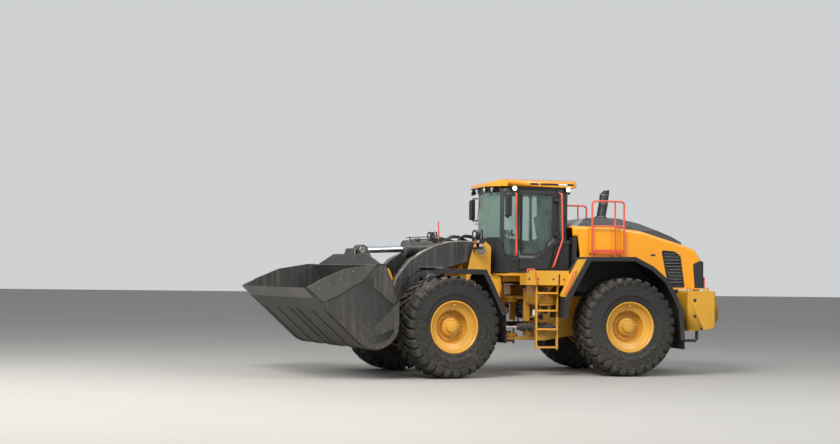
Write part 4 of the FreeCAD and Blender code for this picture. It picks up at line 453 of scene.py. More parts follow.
def turned(bm, profile, steps, centre=(0, 0, 0), axis=(0, 1, 0), closed=None):
    """Shape spun about an axis from (y, r) points; a ring is closed, one that starts at r 0 is not."""
    part = bmesh.new()
    verts = [part.verts.new((r, y, 0)) for y, r in profile]
    edges = [part.edges.new(pair) for pair in zip(verts, verts[1:])]
    if closed or (closed is None and profile[0][1] > 0):
        edges.append(part.edges.new((verts[-1], verts[0])))
    bmesh.ops.spin(part, geom=verts + edges, cent=(0, 0, 0), axis=(0, 1, 0), angle=2 * math.pi, steps=steps,
                   use_merge=True)
    bmesh.ops.remove_doubles(part, verts=part.verts, dist=0.01)
    bmesh.ops.recalc_face_normals(part, faces=part.faces)
    turn = Vector((0, 1, 0)).rotation_difference(Vector(axis)).to_matrix().to_4x4()
    join(bm, part, Matrix.Translation(centre) @ turn)


def flip(part):
    """Turns a mesh into its mirror image on the other side of the machine."""
    part.transform(Matrix.Diagonal((1, -1, 1, 1)))
    bmesh.ops.reverse_faces(part, faces=part.faces)


def drawn_in(body):
    """Frame that the pieces of a body are drawn in."""
    return FRONT if body in FRONT_BODIES else REAR


def settle(piece, body, finish_name, replaces=()):
    """Links a piece, with its finish, to its body."""
    piece.data.materials.clear()
    piece.data.materials.append(finish(finish_name))
    bpy.context.scene.collection.objects.link(piece)
    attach(piece, body)
    if replaces:
        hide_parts(*replaces)
    return piece


def make(bm, name, body, finish_name, edge=0.0, smooth=32.0, place=None, replaces=()):
    """Turns a bmesh in millimetres into a finished piece on its body, its edges rounded by edge."""
    bm.transform(place or drawn_in(body))
    mesh = bpy.data.meshes.new(name)
    bm.to_mesh(mesh)
    bm.free()
    mesh.shade_smooth()
    mesh.set_sharp_from_angle(angle=math.radians(smooth))
    piece = bpy.data.objects.new(name, mesh)
    if edge > 0:
        bevel = piece.modifiers.new("edge", "BEVEL")
        bevel.width = edge / 1000.0
        bevel.segments = 2
        bevel.limit_method = "ANGLE"
        bevel.angle_limit = math.radians(smooth)
        bevel.harden_normals = True
    return settle(piece, body, finish_name, replaces)


@contextmanager
def twins(*words, **settings):
    """Piece drawn on the left side and mirrored to the right; takes what make takes after its mesh."""
    bm = bmesh.new()
    yield bm
    part = bm.copy()
    flip(part)
    join(bm, part)
    make(bm, *words, **settings)


def pipe(name, points, radius, body, bend, finish_name="hose_rubber"):
    """Round tube along straight runs with rounded bends."""
    corners = [Vector(point) for point in points]
    route = [corners[0]]
    for last, here, coming in zip(corners, corners[1:], corners[2:]):
        before, after = last - here, coming - here
        reach = min(bend, before.length * 0.48, after.length * 0.48)
        route += [here + before.normalized() * reach, here, here + after.normalized() * reach]
    route.append(corners[-1])
    curve = bpy.data.curves.new(name, "CURVE")
    curve.dimensions = "3D"
    spline = curve.splines.new("NURBS")
    spline.points.add(len(route) - 1)
    for point, at in zip(spline.points, route):
        point.co = (*(drawn_in(body) @ at), 1.0)
    spline.order_u = 3
    spline.use_endpoint_u = True
    spline.resolution_u = 5
    curve.bevel_depth = radius / 1000.0
    curve.bevel_resolution = 3
    curve.use_fill_caps = True
    tube = bpy.data.objects.new(name, curve)
    bpy.context.scene.collection.objects.link(tube)
    mesh = bpy.data.meshes.new_from_object(tube)
    bpy.data.objects.remove(tube)
    mesh.shade_smooth()
    return settle(bpy.data.objects.new(name, mesh), body, finish_name)


def band(bm, points, thick, y0, y1):
    """Plate of one thickness along an (x, z) line; a positive thickness lies on its left."""
    line = [Vector(point) for point in points]
    edge = []
    for i, here in enumerate(line):
        ways = [(line[k + 1] - line[k]).normalized() for k in (i - 1, i) if 0 <= k < len(line) - 1]
        sides = [Vector((-way.y, way.x)) for way in ways]
        middle = (sides[0] + sides[-1]).normalized()
        edge.append(here + middle * (thick / middle.dot(sides[0])))
    plate(bm, [tuple(point) for point in line + edge[::-1]], y0, y1)


def frame_plate(bm, points, width, y0, y1, axis="Y"):
    """Flat frame of this width inside an outline, pulled like a plate."""
    part = bmesh.new()
    plate(part, points, y0, y1, axis)
    caps = sorted(part.faces, key=lambda face: face.calc_area())[-2:]
    bmesh.ops.inset_individual(part, faces=caps, thickness=width, use_even_offset=True)
    bmesh.ops.bridge_loops(part, edges=[edge for face in caps for edge in face.edges])
    bmesh.ops.delete(part, geom=caps, context="FACES_ONLY")
    bmesh.ops.recalc_face_normals(part, faces=part.faces)
    join(bm, part)


def merged(node):
    """Copy of a CAD node's mesh, in metres, with its doubled corners merged."""
    bm = bmesh.new()
    bm.from_mesh(frame["nodes"][node].data)
    bmesh.ops.remove_doubles(bm, verts=bm.verts, dist=MERGE_M)
    return bm


def skin(node, finish_name):
    """Smooth-shaded stand-in of a CAD node."""
    piece = make(merged(node), node + "_skin", frame["nodes"][node]["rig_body"], finish_name, smooth=30.0,
                 place=Matrix.Identity(4), replaces=[node])
    flat = piece.modifiers.new("flat", "WEIGHTED_NORMAL")
    flat.keep_sharp = True
    flat.weight = 100


# CAD nodes that keep their shape, after their finish; detailed pieces replace the others

CAD_NODES = (
    ("hood_enamel", "hood"), ("cast_enamel", "counterweight", "rear_frame"), ("hood_enamel", "cab_roof"),
    ("cast_enamel", "front_frame", "side_steps"), ("arm_enamel", "lift_arms", "rocker", "link"),
    ("cast_enamel", "attachment_bracket"), ("bucket_enamel", "bucket"), ("worn_edge_steel", "cutting_edges"),
    ("arm_enamel", "steer_barrel_left", "steer_barrel_right"),
    ("hard_chrome", "steer_rod_left", "steer_rod_right"),
    ("machined_steel", "pivot_pins", "frame_pins", "rocker_pin", "bucket_pins"),
    ("axle_casting", "front_axle", "rear_axle", "engine_block"),
    ("moulded_plastic", "rear_fenders", "front_fenders", "side_grilles", "rear_grille", "cab_skirts",
     "side_console", "mirrors", "headlamps", "tail_stays"),
    ("cover_moulding", "hood_cover"), ("chassis_enamel", "cab_frame", "cab_door"),
    ("cast_enamel", "cab_deck", "side_tanks"), ("rail_enamel", "handrails", "lamp_guards"),
    ("chassis_enamel", "work_lamps"), ("smoked_lens", "tail_lights"), ("exhaust_paint", "exhaust_stack"),
    ("cab_window", "cab_glass", "door_glass"))


class LOADER_OT_cad_finishes(bpy.types.Operator):
    """Gives each CAD node a smooth copy with its finish"""
    bl_idname = "loader.cad_finishes"
    bl_label = "Frame finishes"

    def execute(self, context):
        for finish_name, *nodes in CAD_NODES:
            for node in nodes:
                skin(node, finish_name)
        return {"FINISHED"}


# Wheels

TYRE_HALF = (  # y, r over the outer half of a tyre, from the bead to the crown
    (300, 452), (322, 470), (338, 500), (352, 506), (356, 522), (352, 536), (362, 560), (372, 600),
    (379, 612), (380, 626), (376, 638), (380, 690), (378, 740), (370, 780), (374, 790), (372, 804),
    (360, 812), (352, 842), (318, 880), (250, 890), (120, 893), (0, 894))
LUG_SHARE = 0.6       # width of a lug, as a share of the pitch
LUG_ROUND = 5.0


def lug(points, half_width, slope, pivot=0.0):
    """Tread block drawn in (y, r), its edges broken, laid aslant about the pivot's radius."""
    part = bmesh.new()
    plate(part, points, -half_width, half_width, "X")
    bmesh.ops.bevel(part, geom=part.edges[:], offset=LUG_ROUND, offset_type="OFFSET", segments=1,
                    profile=0.5, affect="EDGES", material=-1, clamp_overlap=True)
    shear = Matrix.Identity(4)
    shear[0][1] = slope
    shear[0][3] = -slope * pivot
    part.transform(shear)
    return part


def tyre_mesh(sizes):
    """Tyre about the Y axis, its outer side towards +Y."""
    bm = bmesh.new()
    turned(bm, list(TYRE_HALF) + [(-y, r) for y, r in reversed(TYRE_HALF[:-1])], 120, closed=False)
    top = TYRE_R - 6.0
    foot = TYRE_R - sizes.lug_height - 20
    width = 2 * math.pi * TYRE_R / sizes.lug_count * LUG_SHARE
    outer = lug([(128, foot), (128, top, 10), (300, top - 4, 40), (362, top - 36, 30), (379, 850, 30),
                 (376, 806), (340, 806), (300, foot)], width / 2, 0.34, 255)
    inner = lug([(8, foot), (8, top, 8), (108, top, 8), (108, foot)], width * 0.42, 0.5)
    for source, offset in ((outer, 0.0), (inner, 0.42)):
        for side in (0, 1):
            for i in range(sizes.lug_count):
                angle = 2 * math.pi * (i + offset + side * 0.5) / sizes.lug_count
                part = source.copy()
                if side:
                    flip(part)
                join(bm, part, Matrix.Rotation(angle, 4, "Y"))
        source.free()
    return bm


def rim_mesh(sizes):
    """Rim, disc, hub and nuts about the Y axis, its outer side towards +Y."""
    bm = bmesh.new()
    turned(bm, [(-330, 428), (-330, 451), (240, 451), (292, 452), (318, 452), (318, 480), (324, 484),
                (338, 484), (344, 480), (344, 462), (336, 452), (318, 440), (300, 436), (270, 428),
                (250, 400), (238, 360), (228, 322), (222, 313), (214, 311), (196, 311), (196, 330),
                (210, 360), (222, 400), (232, 428)], 96)
    turned(bm, [(54, 336), (54, 152), (88, 152), (88, 214), (94, 222), (94, 262), (88, 270), (88, 296),
                (96, 306), (110, 311), (224, 312), (224, 336)], 96)
    turned(bm, [(-340, 0), (-340, 245), (54, 285), (54, 152), (92, 152), (92, 174), (98, 178), (120, 176),
                (160, 168), (172, 162), (180, 150), (184, 130), (184, 112), (190, 106), (226, 101),
                (238, 94), (243, 80), (243, 0)], 64)
    nut = bmesh.new()
    barrel(nut, (0, 90, 242), (0, 122, 242), 18, sides=6)
    barrel(nut, (0, 122, 242), (0, 136, 242), 10, sides=12)
    stud = bmesh.new()
    barrel(stud, (0, 180, 132), (0, 194, 132), 9, sides=6)
    for source, count in ((nut, sizes.nut_count), (stud, 10)):
        for i in range(count):
            join(bm, source.copy(), Matrix.Rotation(2 * math.pi * (i + 0.5) / count, 4, "Y"))
        source.free()
    cuboid(bm, -14, 14, 296, 330, 380, 410, 0.5, "X")
    barrel(bm, (0, 316, 392), (0, 352, 405), 7, sides=12)
    return bm


class LOADER_OT_wheels(bpy.types.Operator):
    """Makes the four tyres with their tread lugs and the four rims"""
    bl_idname = "loader.wheels"
    bl_label = "Wheels"

    def execute(self, context):
        sizes = context.scene.loader_sizes
        tyre = tyre_mesh(sizes)
        rim = rim_mesh(sizes)
        for end, x, place in (("front", AXLE, FRONT), ("rear", -AXLE, REAR)):
            for word, side in SIDES:
                at = place @ Matrix.Translation((x, side * TRACK / 2, TYRE_R))
                at = at @ Matrix.Rotation(0.0 if side > 0 else math.pi, 4, "Z")
                corner = "_%s_%s" % (end, word)
                make(tyre.copy(), "tread" + corner, "wheel" + corner, "tread_rubber", smooth=40, place=at,
                     replaces=["tyre" + corner])
                make(rim.copy(), "wheel" + corner, "wheel" + corner, "rim_enamel", place=at,
                     replaces=["rim" + corner])
        tyre.free()
        rim.free()
        return {"FINISHED"}


# Linkage: tilt and lift cylinders, arms and pins (front frame, straight ahead)

PIN_ARM = (950.0, 2370.0)
PIN_BUCKET = (3050.0, 600.0)
PIN_ROCKER = (2760.0, 1540.0)
PIN_LINK_REAR = (2420.0, 1200.0)
PIN_LINK_FRONT = (2780.0, 838.0)
PIN_TILT_EYE = (3175.0, 2333.0)
PIN_TILT_BASE = (1030.0, 2419.0)
PIN_LIFT_BASE = (700.0, 1000.0)
PIN_LIFT_EYE = (1950.0, 1800.0)
ARM_IN = 420.0
ARM_OUT = 540.0
ARM_TOP_EDGE = (  # x, z along the top of an arm, from the bucket end
    (3118.0, 770.0), (2975.0, 1075.0), (2818.0, 1450.0), (2672.0, 1806.0), (2556.0, 1965.0),
    (2395.0, 2150.0), (2140.0, 2313.0), (1853.0, 2447.0), (1575.0, 2516.0), (1294.0, 2538.0),
    (1010.0, 2528.0))


def on(pin, y):
    """Point of an (x, z) pin at this y."""
    return (pin[0], y, pin[1])


def along(base, eye, middle=0.0):
    """Function for points at a reach from one (x, z) pin towards another, raised and set aside."""
    size = math.hypot(eye[0] - base[0], eye[1] - base[1])

    def at(reach, up=0.0, y=0.0):
        share = reach / size
        return (base[0] + (eye[0] - base[0]) * share, middle + y, base[1] + (eye[1] - base[1]) * share + up)
    return at


def screws(bm, points, y0, y1, radius, sides=6):
    """Screw heads that look along Y, at (x, z) points."""
    for point in points:
        barrel(bm, on(point, y0), on(point, y1), radius, sides=sides)


def ring_bolts(bm, centre, axis_y, radius, count, size, depth):
    """Ring of hexagon screws on a face that looks along Y."""
    angles = [2 * math.pi * i / count for i in range(count)]
    screws(bm, [(centre[0] + radius * math.cos(a), centre[1] + radius * math.sin(a)) for a in angles],
           axis_y, axis_y + depth, size)


def pin_cap(bm, pin, y, radius, bolts=4):
    """Turned cover on a pin's end that looks towards +Y, with its screws."""
    turned(bm, [(0, 0), (0, radius), (8, radius), (13, radius - 7), (13, radius * 0.4), (9, 0)], 36,
           on(pin, y))
    ring_bolts(bm, pin, y + 12, radius * 0.68, bolts, radius * 0.13, 7)


class LOADER_OT_tilt_cylinder(bpy.types.Operator):
    """Makes the tilt cylinder with its gland, pipes and the bucket level pointer"""
    bl_idname = "loader.tilt_cylinder"
    bl_label = "Tilt cylinder"

    def execute(self, context):
        base, eye = PIN_TILT_BASE, PIN_TILT_EYE
        at = along(base, eye)
        bm = bmesh.new()
        barrel(bm, at(172), at(1160), 151, sides=48)
        barrel(bm, at(150), at(172), 118, 151, sides=48)
        barrel(bm, at(1157), at(1200), 171, sides=48)
        barrel(bm, at(1200), at(1248), 165, sides=48)
        barrel(bm, at(1248), at(1264), 150, 112, sides=48)
        turned(bm, [(-59, 47), (-59, 108), (59, 108), (59, 47)], 48, on(base, 0))
        cuboid(bm, base[0] + 80, base[0] + 190, -59, 59, base[1] - 92, base[1] + 78)
        for angle in range(0, 360, 30):
            turn = math.radians(angle + 15)
            y, up = 142 * math.cos(turn), 142 * math.sin(turn)
            barrel(bm, at(1246, up, y), at(1258, up, y), 13, sides=6)
        make(bm, "tilt_tube", "tilt_barrel", "arm_enamel", 4.0, replaces=["tilt_barrel"])
        bm = bmesh.new()
        barrel(bm, at(1105), at(2085), 61.5, sides=40)
        make(bm, "tilt_shaft", "tilt_rod", "hard_chrome", replaces=["tilt_rod"])
        bm = bmesh.new()
        barrel(bm, on(eye, -59), on(eye, 59), 99, sides=48)
        for y in (-59, 59):
            turned(bm, [(y, 50), (y, 96), (y * 1.1, 92), (y * 1.1, 54)], 40, on(eye, 0))
        barrel(bm, at(2012), at(2050), 72, 61, sides=40)
        make(bm, "tilt_eye", "tilt_rod", "arm_enamel", 3.0)
        bm = bmesh.new()
        for y in (-62, 62):
            barrel(bm, at(420, 170, y), at(1080, 172, y), 15, sides=16)
            barrel(bm, at(1080, 172, y), at(1150, 130, y * 0.7), 15, sides=16)
            barrel(bm, at(420, 170, y), at(330, 120, y), 15, sides=16)
        way = (Vector(at(1000)) - Vector(at(0))).normalized()
        for reach in (480, 960):
            turned(bm, [(-20, 150), (-20, 157), (20, 157), (20, 150)], 48, at(reach), way)
            x, _, z = at(reach)
            cuboid(bm, x - 22, x + 22, -92, 92, z + 148, z + 196)
        make(bm, "tilt_pipes", "tilt_barrel", "arm_enamel", 2.0)
        bm = bmesh.new()
        cuboid(bm, at(600)[0], at(680)[0], 60, 120, at(640)[2] + 118, at(640)[2] + 200)
        barrel(bm, at(640, 190, 90), at(702, 206, 90), 18, sides=16)
        cuboid(bm, at(560)[0], at(690)[0], -118, -40, at(640)[2] + 118, at(640)[2] + 186)
        barrel(bm, at(580, 186, -80), at(580, 240, -80), 15, sides=16)
        barrel(bm, at(650, 186, -80), at(650, 262, -80), 12, sides=16)
        make(bm, "level_switch", "tilt_barrel", "chassis_enamel", 3.0)
        bm = bmesh.new()
        barrel(bm, at(1200, 214, 20), at(500, 226, 20), 9, sides=12)
        for reach in (560, 1130):
            x, _, z = at(reach)
            cuboid(bm, x - 8, x + 8, 8, 32, z + 150, z + 230)
        make(bm, "level_rod", "tilt_barrel", "arm_enamel", 1.5)
        bm = bmesh.new()
        cuboid(bm, 1650, 1672, 238, 262, 2590, 2900, 0.05)
        make(bm, "level_pointer", "front_unit", "rail_enamel", 4.0)
        pipe("pointer_stay", [(1130, 322, 2430), (1130, 262, 2430), (1230, 250, 2500), (1460, 250, 2570),
                              (1658, 250, 2604)], 12, "front_unit", 90, "chassis_enamel")
        for i, y in enumerate((-38, 0, 38)):
            pipe("tilt_hose_%d" % i, [at(345, 128, y * 1.5), at(240, 215, y * 1.5), at(60, 205, y),
                                      at(-90, 130, y), at(-105, 20, y), at(-90, -60, y)], 17, "tilt_barrel",
                 110)
        return {"FINISHED"}


class LOADER_OT_lift_cylinders(bpy.types.Operator):
    """Makes both lift cylinders with glands and pipes"""
    bl_idname = "loader.lift_cylinders"
    bl_label = "Lift cylinders"

    def execute(self, context):
        base, eye = PIN_LIFT_BASE, PIN_LIFT_EYE
        middle = (ARM_IN + ARM_OUT) / 2
        at = along(base, eye, middle)

        with twins("lift_tubes", "lift_barrels", "arm_enamel", 3.0, replaces=["lift_barrels"]) as bm:
            barrel(bm, at(55), at(1148), 103.5, sides=44)
            barrel(bm, at(1146), at(1246), 109.5, sides=44)
            barrel(bm, at(1246), at(1253), 98, 72, sides=44)
            turned(bm, [(-74, 42), (-74, 91), (74, 91), (74, 42)], 40, on(base, middle))
            barrel(bm, at(150, 118), at(1120, 118), 12, sides=14)
            cuboid(bm, at(1110)[0] - 26, at(1110)[0] + 26, middle - 26, middle + 26, at(1110)[2] + 60,
                   at(1110)[2] + 134)
            for reach in (300, 850):
                barrel(bm, at(reach - 16), at(reach + 16), 107, sides=44)

        with twins("lift_shafts", "lift_rods", "hard_chrome", replaces=["lift_rods"]) as bm:
            barrel(bm, at(235), at(1420), 44.5, sides=32)

        with twins("lift_eyes", "lift_rods", "arm_enamel", 4.0) as bm:
            barrel(bm, on(eye, middle - 42), on(eye, middle + 42), 91, sides=40)
            barrel(bm, at(1350), at(1405), 55, 72, sides=32)
        return {"FINISHED"}


class LOADER_OT_arm_details(bpy.types.Operator):
    """Makes the pale top edges (a painted highlight), pin caps, grease lines and weld rings of the lift arms
    """
    bl_idname = "loader.arm_details"
    bl_label = "Lift arm details"

    def execute(self, context):
        # Pale band along the top of each arm: painted highlight, with dust on it
        with twins("arm_top_edges", "lift_arm", "arm_edge", 3.0, 50) as bm:
            band(bm, ARM_TOP_EDGE, 14, ARM_IN - 2, ARM_OUT + 5)

        with twins("pin_caps", "lift_arm", "machined_steel", 2.0) as bm:
            pin_cap(bm, PIN_BUCKET, ARM_OUT + 60, 84, 6)
            pin_cap(bm, PIN_ROCKER, 186, 82, 6)
            turned(bm, [(0, 60), (0, 104), (8, 110), (18, 104), (18, 60)], 40, on(PIN_LIFT_EYE, ARM_OUT + 22))
            pin_cap(bm, PIN_LIFT_EYE, ARM_OUT + 22, 66, 4)

        with twins("rocker_caps", "rocker", "machined_steel", 2.0) as bm:
            pin_cap(bm, PIN_TILT_EYE, 120, 70, 4)
            pin_cap(bm, PIN_LINK_REAR, 128, 58, 4)

        with twins("link_caps", "bucket", "machined_steel", 2.0) as bm:
            pin_cap(bm, PIN_LINK_FRONT, 113, 58, 4)

        with twins("grease_lines", "lift_arm", "hose_rubber") as bm:
            route = ((2060, 1985), (2250, 1950), (2420, 1830), (2560, 1640), (2700, 1300), (2860, 900),
                     (2980, 690))
            for first, second in zip(route, route[1:]):
                barrel(bm, on(first, ARM_OUT + 8), on(second, ARM_OUT + 8), 6, sides=8)
            for x, z in route[1:-1]:
                cuboid(bm, x - 14, x + 14, ARM_OUT - 1, ARM_OUT + 14, z - 14, z + 14)

        with twins("arm_bosses", "lift_arm", "arm_enamel") as bm:
            turned(bm, [(-6, 126), (-6, 146), (10, 134), (10, 126)], 44, (2385, ARM_IN - 2, 1640), (0, -1, 0))
            turned(bm, [(0, 62), (0, 128), (10, 134), (14, 128), (14, 62)], 44, on(PIN_ARM, ARM_OUT - 1))
            turned(bm, [(0, 62), (0, 112), (9, 116), (11, 112), (11, 62)], 44, on(PIN_BUCKET, ARM_OUT - 1))
        return {"FINISHED"}


# Bucket, drawn level with its pin at the origin

BUCKET = FRONT @ Matrix.Translation(on(PIN_BUCKET, 0)) @ Matrix.Rotation(math.radians(-42.0), 4, "Y")
BUCKET_HALF = 1715.0
BUCKET_HEEL = (660.0, -45.0)
HEEL_R = 450.0
SIDE_EDGE = ((1245.0, 850.0), (1363.0, 738.0), (1739.0, 264.0), (1958.0, -192.0), (2035.0, -440.0))
GUARD_ROWS = ((0.0, 1500.0), (185.0, 820.0), (185.0, 250.0), (290.0, 210.0))   # height, half width


def heel_arc(radius, first, last, steps):
    """Points on an arc about the heel's centre, in degrees."""
    angles = [math.radians(first + (last - first) * i / steps) for i in range(steps + 1)]
    return [(BUCKET_HEEL[0] + radius * math.cos(a), BUCKET_HEEL[1] + radius * math.sin(a)) for a in angles]


def guard_point(height, y):
    """Point on the spill guard's sheet at this height above the bucket's lip."""
    return (1245.0 + 0.559 * height, y, 850.0 + 0.829 * height)


class LOADER_OT_bucket_details(bpy.types.Operator):
    """Makes the bucket's bolts, bright edges, wear strips and guard gussets"""
    bl_idname = "loader.bucket_details"
    bl_label = "Bucket details"

    def execute(self, context):
        half = BUCKET_HALF

        with twins("edge_bolts", "bucket", "machined_steel", place=BUCKET) as bm:
            for i in range(8):
                y = 105 + 215 * i
                barrel(bm, (1860, y, -442), (1860, y, -428), 19, 15, sides=12)
            screws(bm, ((1450, 560), (1620, 330), (1700, 60), (1800, -160), (1880, -330)), half + 15,
                   half + 27, 17)

        with twins("mouth_edges", "bucket", "worn_edge_steel", 2.0, 50, place=BUCKET) as bm:
            band(bm, SIDE_EDGE, 7, half - 33, half + 17)
            for first, second in zip(GUARD_ROWS, GUARD_ROWS[1:]):
                barrel(bm, guard_point(*first), guard_point(*second), 11, sides=10)
        bm = bmesh.new()
        top = GUARD_ROWS[-1]
        barrel(bm, guard_point(top[0], -top[1]), guard_point(*top), 11, sides=10)
        cuboid(bm, 1236, 1254, -half + 34, half - 34, 824, 842)
        make(bm, "lip_edge", "bucket", "worn_edge_steel", 3.0, 50, place=BUCKET)

        with twins("wear_strips", "bucket", "bucket_enamel", 3.0, 40, place=BUCKET) as bm:
            band(bm, heel_arc(HEEL_R - 2, 150, 270, 16) + [(1640, -493)], 78, half - 1, half + 10)
            plate(bm, [(640, 425), (1143, 393, 60), (1322, 600, 60), (1236, 800, 30), (655, 545, 40)],
                  half - 1, half + 8)
            for y in (180, 900, 1560):
                band(bm, heel_arc(HEEL_R - 2, 196, 270, 9) + [(1500, -493)], -16, y - 70, y + 70)

        with twins("guard_gussets", "bucket", "bucket_enamel", 2.0, 40, place=BUCKET) as bm:
            for y in (420, 980, 1330):
                rise = 150 if y < 820 else 150 * (1500 - y) / 680
                tip = guard_point(rise, y)
                plate(bm, [(1236, 852), (tip[0] - 12, tip[2] + 8), (1100, 790)], y - 9, y + 9)
        return {"FINISHED"}


# Front frame, headlamps, hitch

MANIFOLD_PORTS = (-66, -22, 22, 66)
TOWER_Y = 642.0       # outer face of a tower
HEADLAMP = (1262, 985, 2650)


class LOADER_OT_front_frame_details(bpy.types.Operator):
    """Makes pin covers, screws, hoses, fender flaps and lamps of the front frame"""
    bl_idname = "loader.front_frame_details"
    bl_label = "Front frame details"

    def execute(self, context):
        with twins("tower_pin_covers", "front_unit", "machined_steel", 1.5) as bm:
            ring_bolts(bm, PIN_ARM, 657, 62, 6, 9, 8)
            pin_cap(bm, PIN_LIFT_BASE, 643, 74, 4)

        with twins("tower_bosses", "front_unit", "cast_enamel", 3.0) as bm:
            turned(bm, [(0, 92), (0, 138), (8, 144), (12, 138), (12, 92)], 44, on(PIN_ARM, TOWER_Y))
            turned(bm, [(0, 76), (0, 122), (8, 128), (12, 122), (12, 76)], 44, on(PIN_LIFT_BASE, TOWER_Y))
            band(bm, [(562, 1540), (548, 1660), (566, 1846), (760, 1872)], 16, TOWER_Y, 660)
            screws(bm, ((600, 1300), (600, 1120), (1240, 1300), (1180, 1480), (1130, 2050), (1090, 2240)),
                   TOWER_Y, TOWER_Y + 10, 15)
            cuboid(bm, 700, 900, TOWER_Y, 650, 1400, 1560)

        bm = bmesh.new()
        cuboid(bm, 845, 913, -100, 100, 2030, 2150)
        for y in MANIFOLD_PORTS:
            barrel(bm, (862, y, 2150), (862, y, 2184), 17, sides=6)
        make(bm, "tower_manifold", "front_unit", "chassis_enamel", 3.0)
        for i, y in enumerate(MANIFOLD_PORTS):
            pipe("manifold_hose_%d" % i,
                 [(862, y, 2034), (858, y, 1900), (800, y * 1.6, 1760), (760, y * 2.2, 1500),
                  (700, y * 2.4, 1240)], 16, "front_unit", 120)
        for i, (y, top) in enumerate(((232, 2610), (-232, 2610), (272, 2640), (-272, 2640))):
            pipe("tower_hose_%d" % i, [(905, y, 2180), (890, y, 2400), (920, y, top), (1120, y, top + 14),
                                       (1250, y, top - 60), (1190, y, 2440), (1130, y * 1.08, 2350)], 17,
                 "front_unit", 130)

        with twins("headlamp_rims", "front_unit", "moulded_plastic", 3.0) as bm:
            turned(bm, [(0, 66), (0, 87), (10, 92), (16, 90), (16, 70)], 40, HEADLAMP, AHEAD)
            cuboid(bm, 1206, 1216, 866, 1094, 2488, 2552)
            plate(bm, [(1090, 2560), (1100, 2738, 30), (1150, 2752, 20), (1150, 2735), (1118, 2722),
                       (1108, 2560)], 968, 1002)

        with twins("headlamp_lenses", "front_unit", "lamp_reflector", 2.0) as bm:
            turned(bm, [(0, 0), (0, 68), (5, 64), (11, 40), (13, 0)], 36, HEADLAMP, AHEAD)
            cuboid(bm, 1214, 1222, 990, 1084, 2496, 2544)

        with twins("turn_lamps", "front_unit", "amber_lens", 3.0) as bm:
            cuboid(bm, 1214, 1223, 876, 976, 2496, 2544)

        with twins("marker_lamps", "front_unit", "white_plate", 9.0) as bm:
            cuboid(bm, 1060, 1128, 800, 905, 2421, 2520)

        with twins("front_mudflaps", "front_unit", "hose_rubber", 3.0) as bm:
            plate(bm, [(846, 1230), (858, 1230), (842, 640), (828, 640)], 905, 1486)
            for y in (980, 1190, 1400):
                cuboid(bm, 838, 866, y - 30, y + 30, 1150, 1215)

        with twins("front_fender_bands", "front_unit", "moulded_plastic", 4.0) as bm:
            band(bm, [(AXLE - 1085, 1180), (AXLE - 815, 1714), (AXLE - 660, 1988), (AXLE + 355, 1995)], 9,
                 1330, 1502)
            screws(bm, ((1032, 1406), (1192, 1726), (1442, 1942), (1772, 1944), (2102, 1946)), 1500, 1508,
                   13, 12)
        return {"FINISHED"}


class LOADER_OT_hitch_details(bpy.types.Operator):
    """Makes accumulators, filters, hoses and cylinder glands around the hitch"""
    bl_idname = "loader.hitch_details"
    bl_label = "Hitch details"

    def execute(self, context):
        with twins("accumulators", "front_unit", "bronze_paint", 2.0) as bm:
            for x, y, low, high in ((335, 300, 1506, 1742), (300, 300, 1100, 1362)):
                turned(bm, [(0, 0), (0, 48), (10, 62), (high - low - 30, 62), (high - low - 8, 40),
                            (high - low, 16), (high - low, 0)], 32, (x, y, low), UP)
                for share in (0.25, 0.7):
                    z = low + (high - low) * share
                    turned(bm, [(0, 60), (0, 66), (22, 66), (22, 60)], 32, (x, y, z), UP)

        with twins("accumulator_shelves", "front_unit", "cast_enamel", 2.0) as bm:
            cuboid(bm, 262, 452, 225, 372, 1490, 1505)
            cuboid(bm, 232, 452, 238, 362, 1084, 1099)
            cuboid(bm, 360, 452, 290, 310, 1380, 1490)

        with twins("hitch_posts", "rear_unit", "cast_enamel", 4.0) as bm:
            plate(bm, rectangle(-284, -172, 1010, 1660, 20), 392, 470)
            for z in (1080, 1420):
                cuboid(bm, -452, -276, 405, 455, z, z + 30)
            turned(bm, [(-4, 0), (-4, 44), (10, 44), (14, 36), (14, 0)], 32, (-228, 468, 1600))

        with twins("filter_bowls", "rear_unit", "white_plate", 1.0) as bm:
            turned(bm, [(0, 0), (0, 40), (12, 56), (122, 56), (128, 50), (128, 0)], 36, (-250, 905, 1120), UP)

        with twins("filter_heads", "rear_unit", "chassis_enamel", 2.0) as bm:
            turned(bm, [(0, 0), (0, 58), (60, 62), (82, 44), (84, 0)], 36, (-250, 905, 1246), UP)
            cuboid(bm, -300, -200, 855, 955, 1300, 1331)
            turned(bm, [(0, 0), (0, 46), (150, 46), (160, 34), (160, 0)], 32, (-410, 1010, 1170), UP)

        for word, side in SIDES[::-1]:
            body = "steer_barrel_" + word
            eye = Matrix.Rotation(STEER, 4, "Z") @ Vector((430, side * 470, 905))
            base = Vector((-780, side * 560, 905))
            way = (eye - base).normalized()
            bm = bmesh.new()
            barrel(bm, base + way * 700, base + way * 770, 68, sides=36)
            barrel(bm, base + way * 770, base + way * 778, 60, 44, sides=36)
            barrel(bm, base + way * 130, base + way * 165, 66, sides=36)
            barrel(bm, base + way * 210 + Vector((0, 0, 62)), base + way * 700 + Vector((0, 0, 66)), 9,
                   sides=12)
            make(bm, "steer_gland_" + word, body, "arm_enamel", 2.0)
            for i, (z, reach, low) in enumerate(((1380, 250, 1010), (1300, 215, 1040), (1220, 180, 760))):
                y = side * (150 + 62 * i)
                pipe("front_loop_%s_%d" % (word, i),
                     [(452, y, z), (452 - reach, y, z - 10), (452 - reach * 0.8, y, low),
                      (452, y, low - 20)], 16, "front_unit", 110)
                pipe("rear_loop_%s_%d" % (word, i),
                     [(-452, y, z + 30), (-452 + reach, y, z + 10), (-452 + reach * 0.7, y, low + 60),
                      (-452, y, low + 30)], 16, "rear_unit", 110)
        return {"FINISHED"}


# Hood and tail

